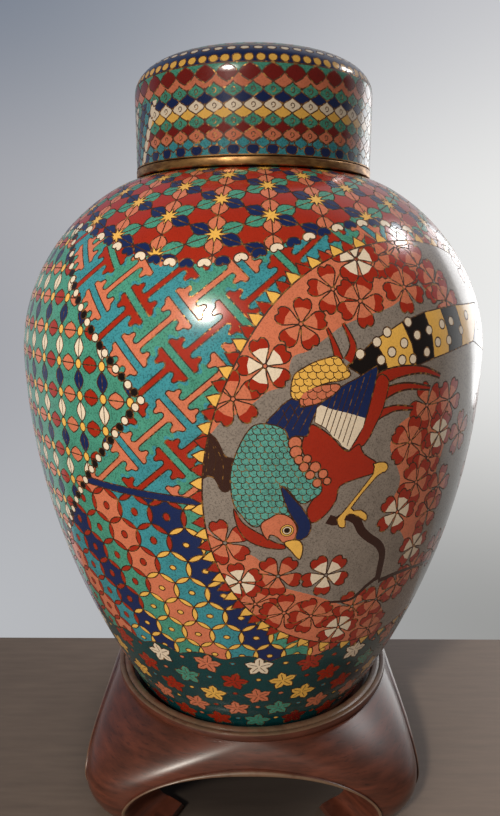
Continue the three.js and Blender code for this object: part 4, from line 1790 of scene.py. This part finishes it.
room = dict(
    table=(112, 98, 88),
    tableSide=1500,        # mm to the left, the right and the front
    tableBack=79,
    paintedSheenRun=600,         # mm to the right over which a painted reflection of the bright wall takes it from its dark to its light tone
    paintedSheenTones=(0.55, 1.5),
    paintedShadowReach=(50, 100),    # mm from the middle, where the shadow painted on the table under the stand ends; its colour and share follow
    paintedShadow=(20, 13, 10),
    paintedShadowShare=0.85,
    wallLeft=((184, 186, 190), (164, 165, 171), (112, 122, 138)),     # low, middle and high
    wallRight=((150, 150, 148), (238, 238, 236), (200, 200, 204)),
    front=(84, 78, 72),
    # sines of the directions between which one tone passes into the next
    leftToRight=(-0.45, 0.5),
    lowToMiddle=(-0.5, -0.1),
    middleToHigh=(0.05, 0.4),
    frontToWall=(0.0, 0.45),
)
warm = (1, 0.93, 0.82)
# Lamps: place and aim in mm, width and height in mm, power in watts, colour
lamps = dict(
    key=((-436, -1027, 849), (0, 0, 180), 130, 130, 10, warm),
    fill=((-720, -950, 380), (0, 0, 160), 900, 600, 7.8, warm),
    side=((665, 259, 818), (0, 0, 220), 200, 120, 1.2),
    window=((900, 940, 330), (0, 0, 200), 700, 900, 3.5),
)


# A table top that ends behind the stand, so that the pale surroundings stand behind the jar
def makeTable(r):
    finish = Finish("table")
    grain = finish.noise(30, 4, 0.6, (1, 0.12, 1))
    across = finish.node("ShaderNodeSeparateXYZ", {}, {"Vector": finish.place})
    # painted reflection: lighter to the right, as if the pale wall shone in it; the grain is the table's own
    share = grain * 0.6 + across / (r["paintedSheenRun"] * mm) + 0.25
    colour = finish.blend(share, *(tint(*r["table"], tone) for tone in r["paintedSheenTones"]))
    # painted shadow: the table is darkened round the middle, under the stand
    away = finish.node("ShaderNodeVectorMath", dict(operation="LENGTH"), {"Vector": finish.place}, "Value")
    near, far = r["paintedShadowReach"]
    paintedShadow = 1 - away.over((near + far) / 2 * mm, (far - near) / 2 * mm)
    colour = finish.blend(paintedShadow * r["paintedShadowShare"], colour, tint(*r["paintedShadow"]))
    finish.feed(colour=colour, roughness=0.5 + grain * 0.1)
    side, back = r["tableSide"], r["tableBack"]
    mesh = bpy.data.meshes.new("table")
    places = ((-side, -side), (side, -side), (side, back), (-side, back))
    mesh.from_pydata([(x * mm, y * mm, 0) for x, y in places], [], [(0, 1, 2, 3)])
    mesh.materials.append(finish.material)
    table = bpy.data.objects.new("table", mesh)
    scene.collection.objects.link(table)


# An oval soft box aimed at a point
def softBox(name, place, aim, width, height, power, colour=(1, 1, 1)):
    data = bpy.data.lights.new(name, "AREA")
    data.shape = "ELLIPSE"
    data.size = width * mm
    data.size_y = height * mm
    data.energy = power
    data.color = colour
    light = bpy.data.objects.new(name, data)
    light.location = Vector(place) * mm
    light.rotation_euler = (Vector(aim) - Vector(place)).to_track_quat("-Z", "Y").to_euler()
    scene.collection.objects.link(light)
    return light


# Surroundings by direction: dim in front of the jar, a pale wall behind it that brightens to the right
def makeSurroundings(r):
    world = bpy.data.worlds.new("world")
    world.use_nodes = True
    nodes, links = world.node_tree.nodes, world.node_tree.links
    direction = nodes.new("ShaderNodeTexCoord").outputs["Generated"]
    parts = nodes.new("ShaderNodeSeparateXYZ")
    links.new(direction, parts.inputs[0])

    def mixed(output, low, high, first, second):
        reach = nodes.new("ShaderNodeMapRange")
        reach.interpolation_type = "SMOOTHSTEP"
        links.new(parts.outputs[output], reach.inputs[0])
        reach.inputs[1].default_value = low
        reach.inputs[2].default_value = high
        mix = nodes.new("ShaderNodeMix")
        mix.data_type = "RGBA"
        links.new(reach.outputs[0], mix.inputs[0])
        for socket, value in ((mix.inputs[6], first), (mix.inputs[7], second)):
            if isinstance(value, tuple):
                socket.default_value = value
            else:
                links.new(value, socket)
        return mix.outputs[2]

    low, middle, high = (mixed(0, *r["leftToRight"], tint(*left), tint(*right))
                         for left, right in zip(r["wallLeft"], r["wallRight"]))
    wall = mixed(2, *r["lowToMiddle"], low, mixed(2, *r["middleToHigh"], middle, high))
    links.new(mixed(1, *r["frontToWall"], tint(*r["front"]), wall), nodes["Background"].inputs["Color"])
    scene.world = world


def makeLight():
    lights = {name: softBox(name, *values) for name, values in lamps.items()}
    # kept out of reflections, its large oval would veil the enamel
    lights["fill"].visible_glossy = False


makeTable(room)
makeSurroundings(room)
makeLight()
print("room lit")
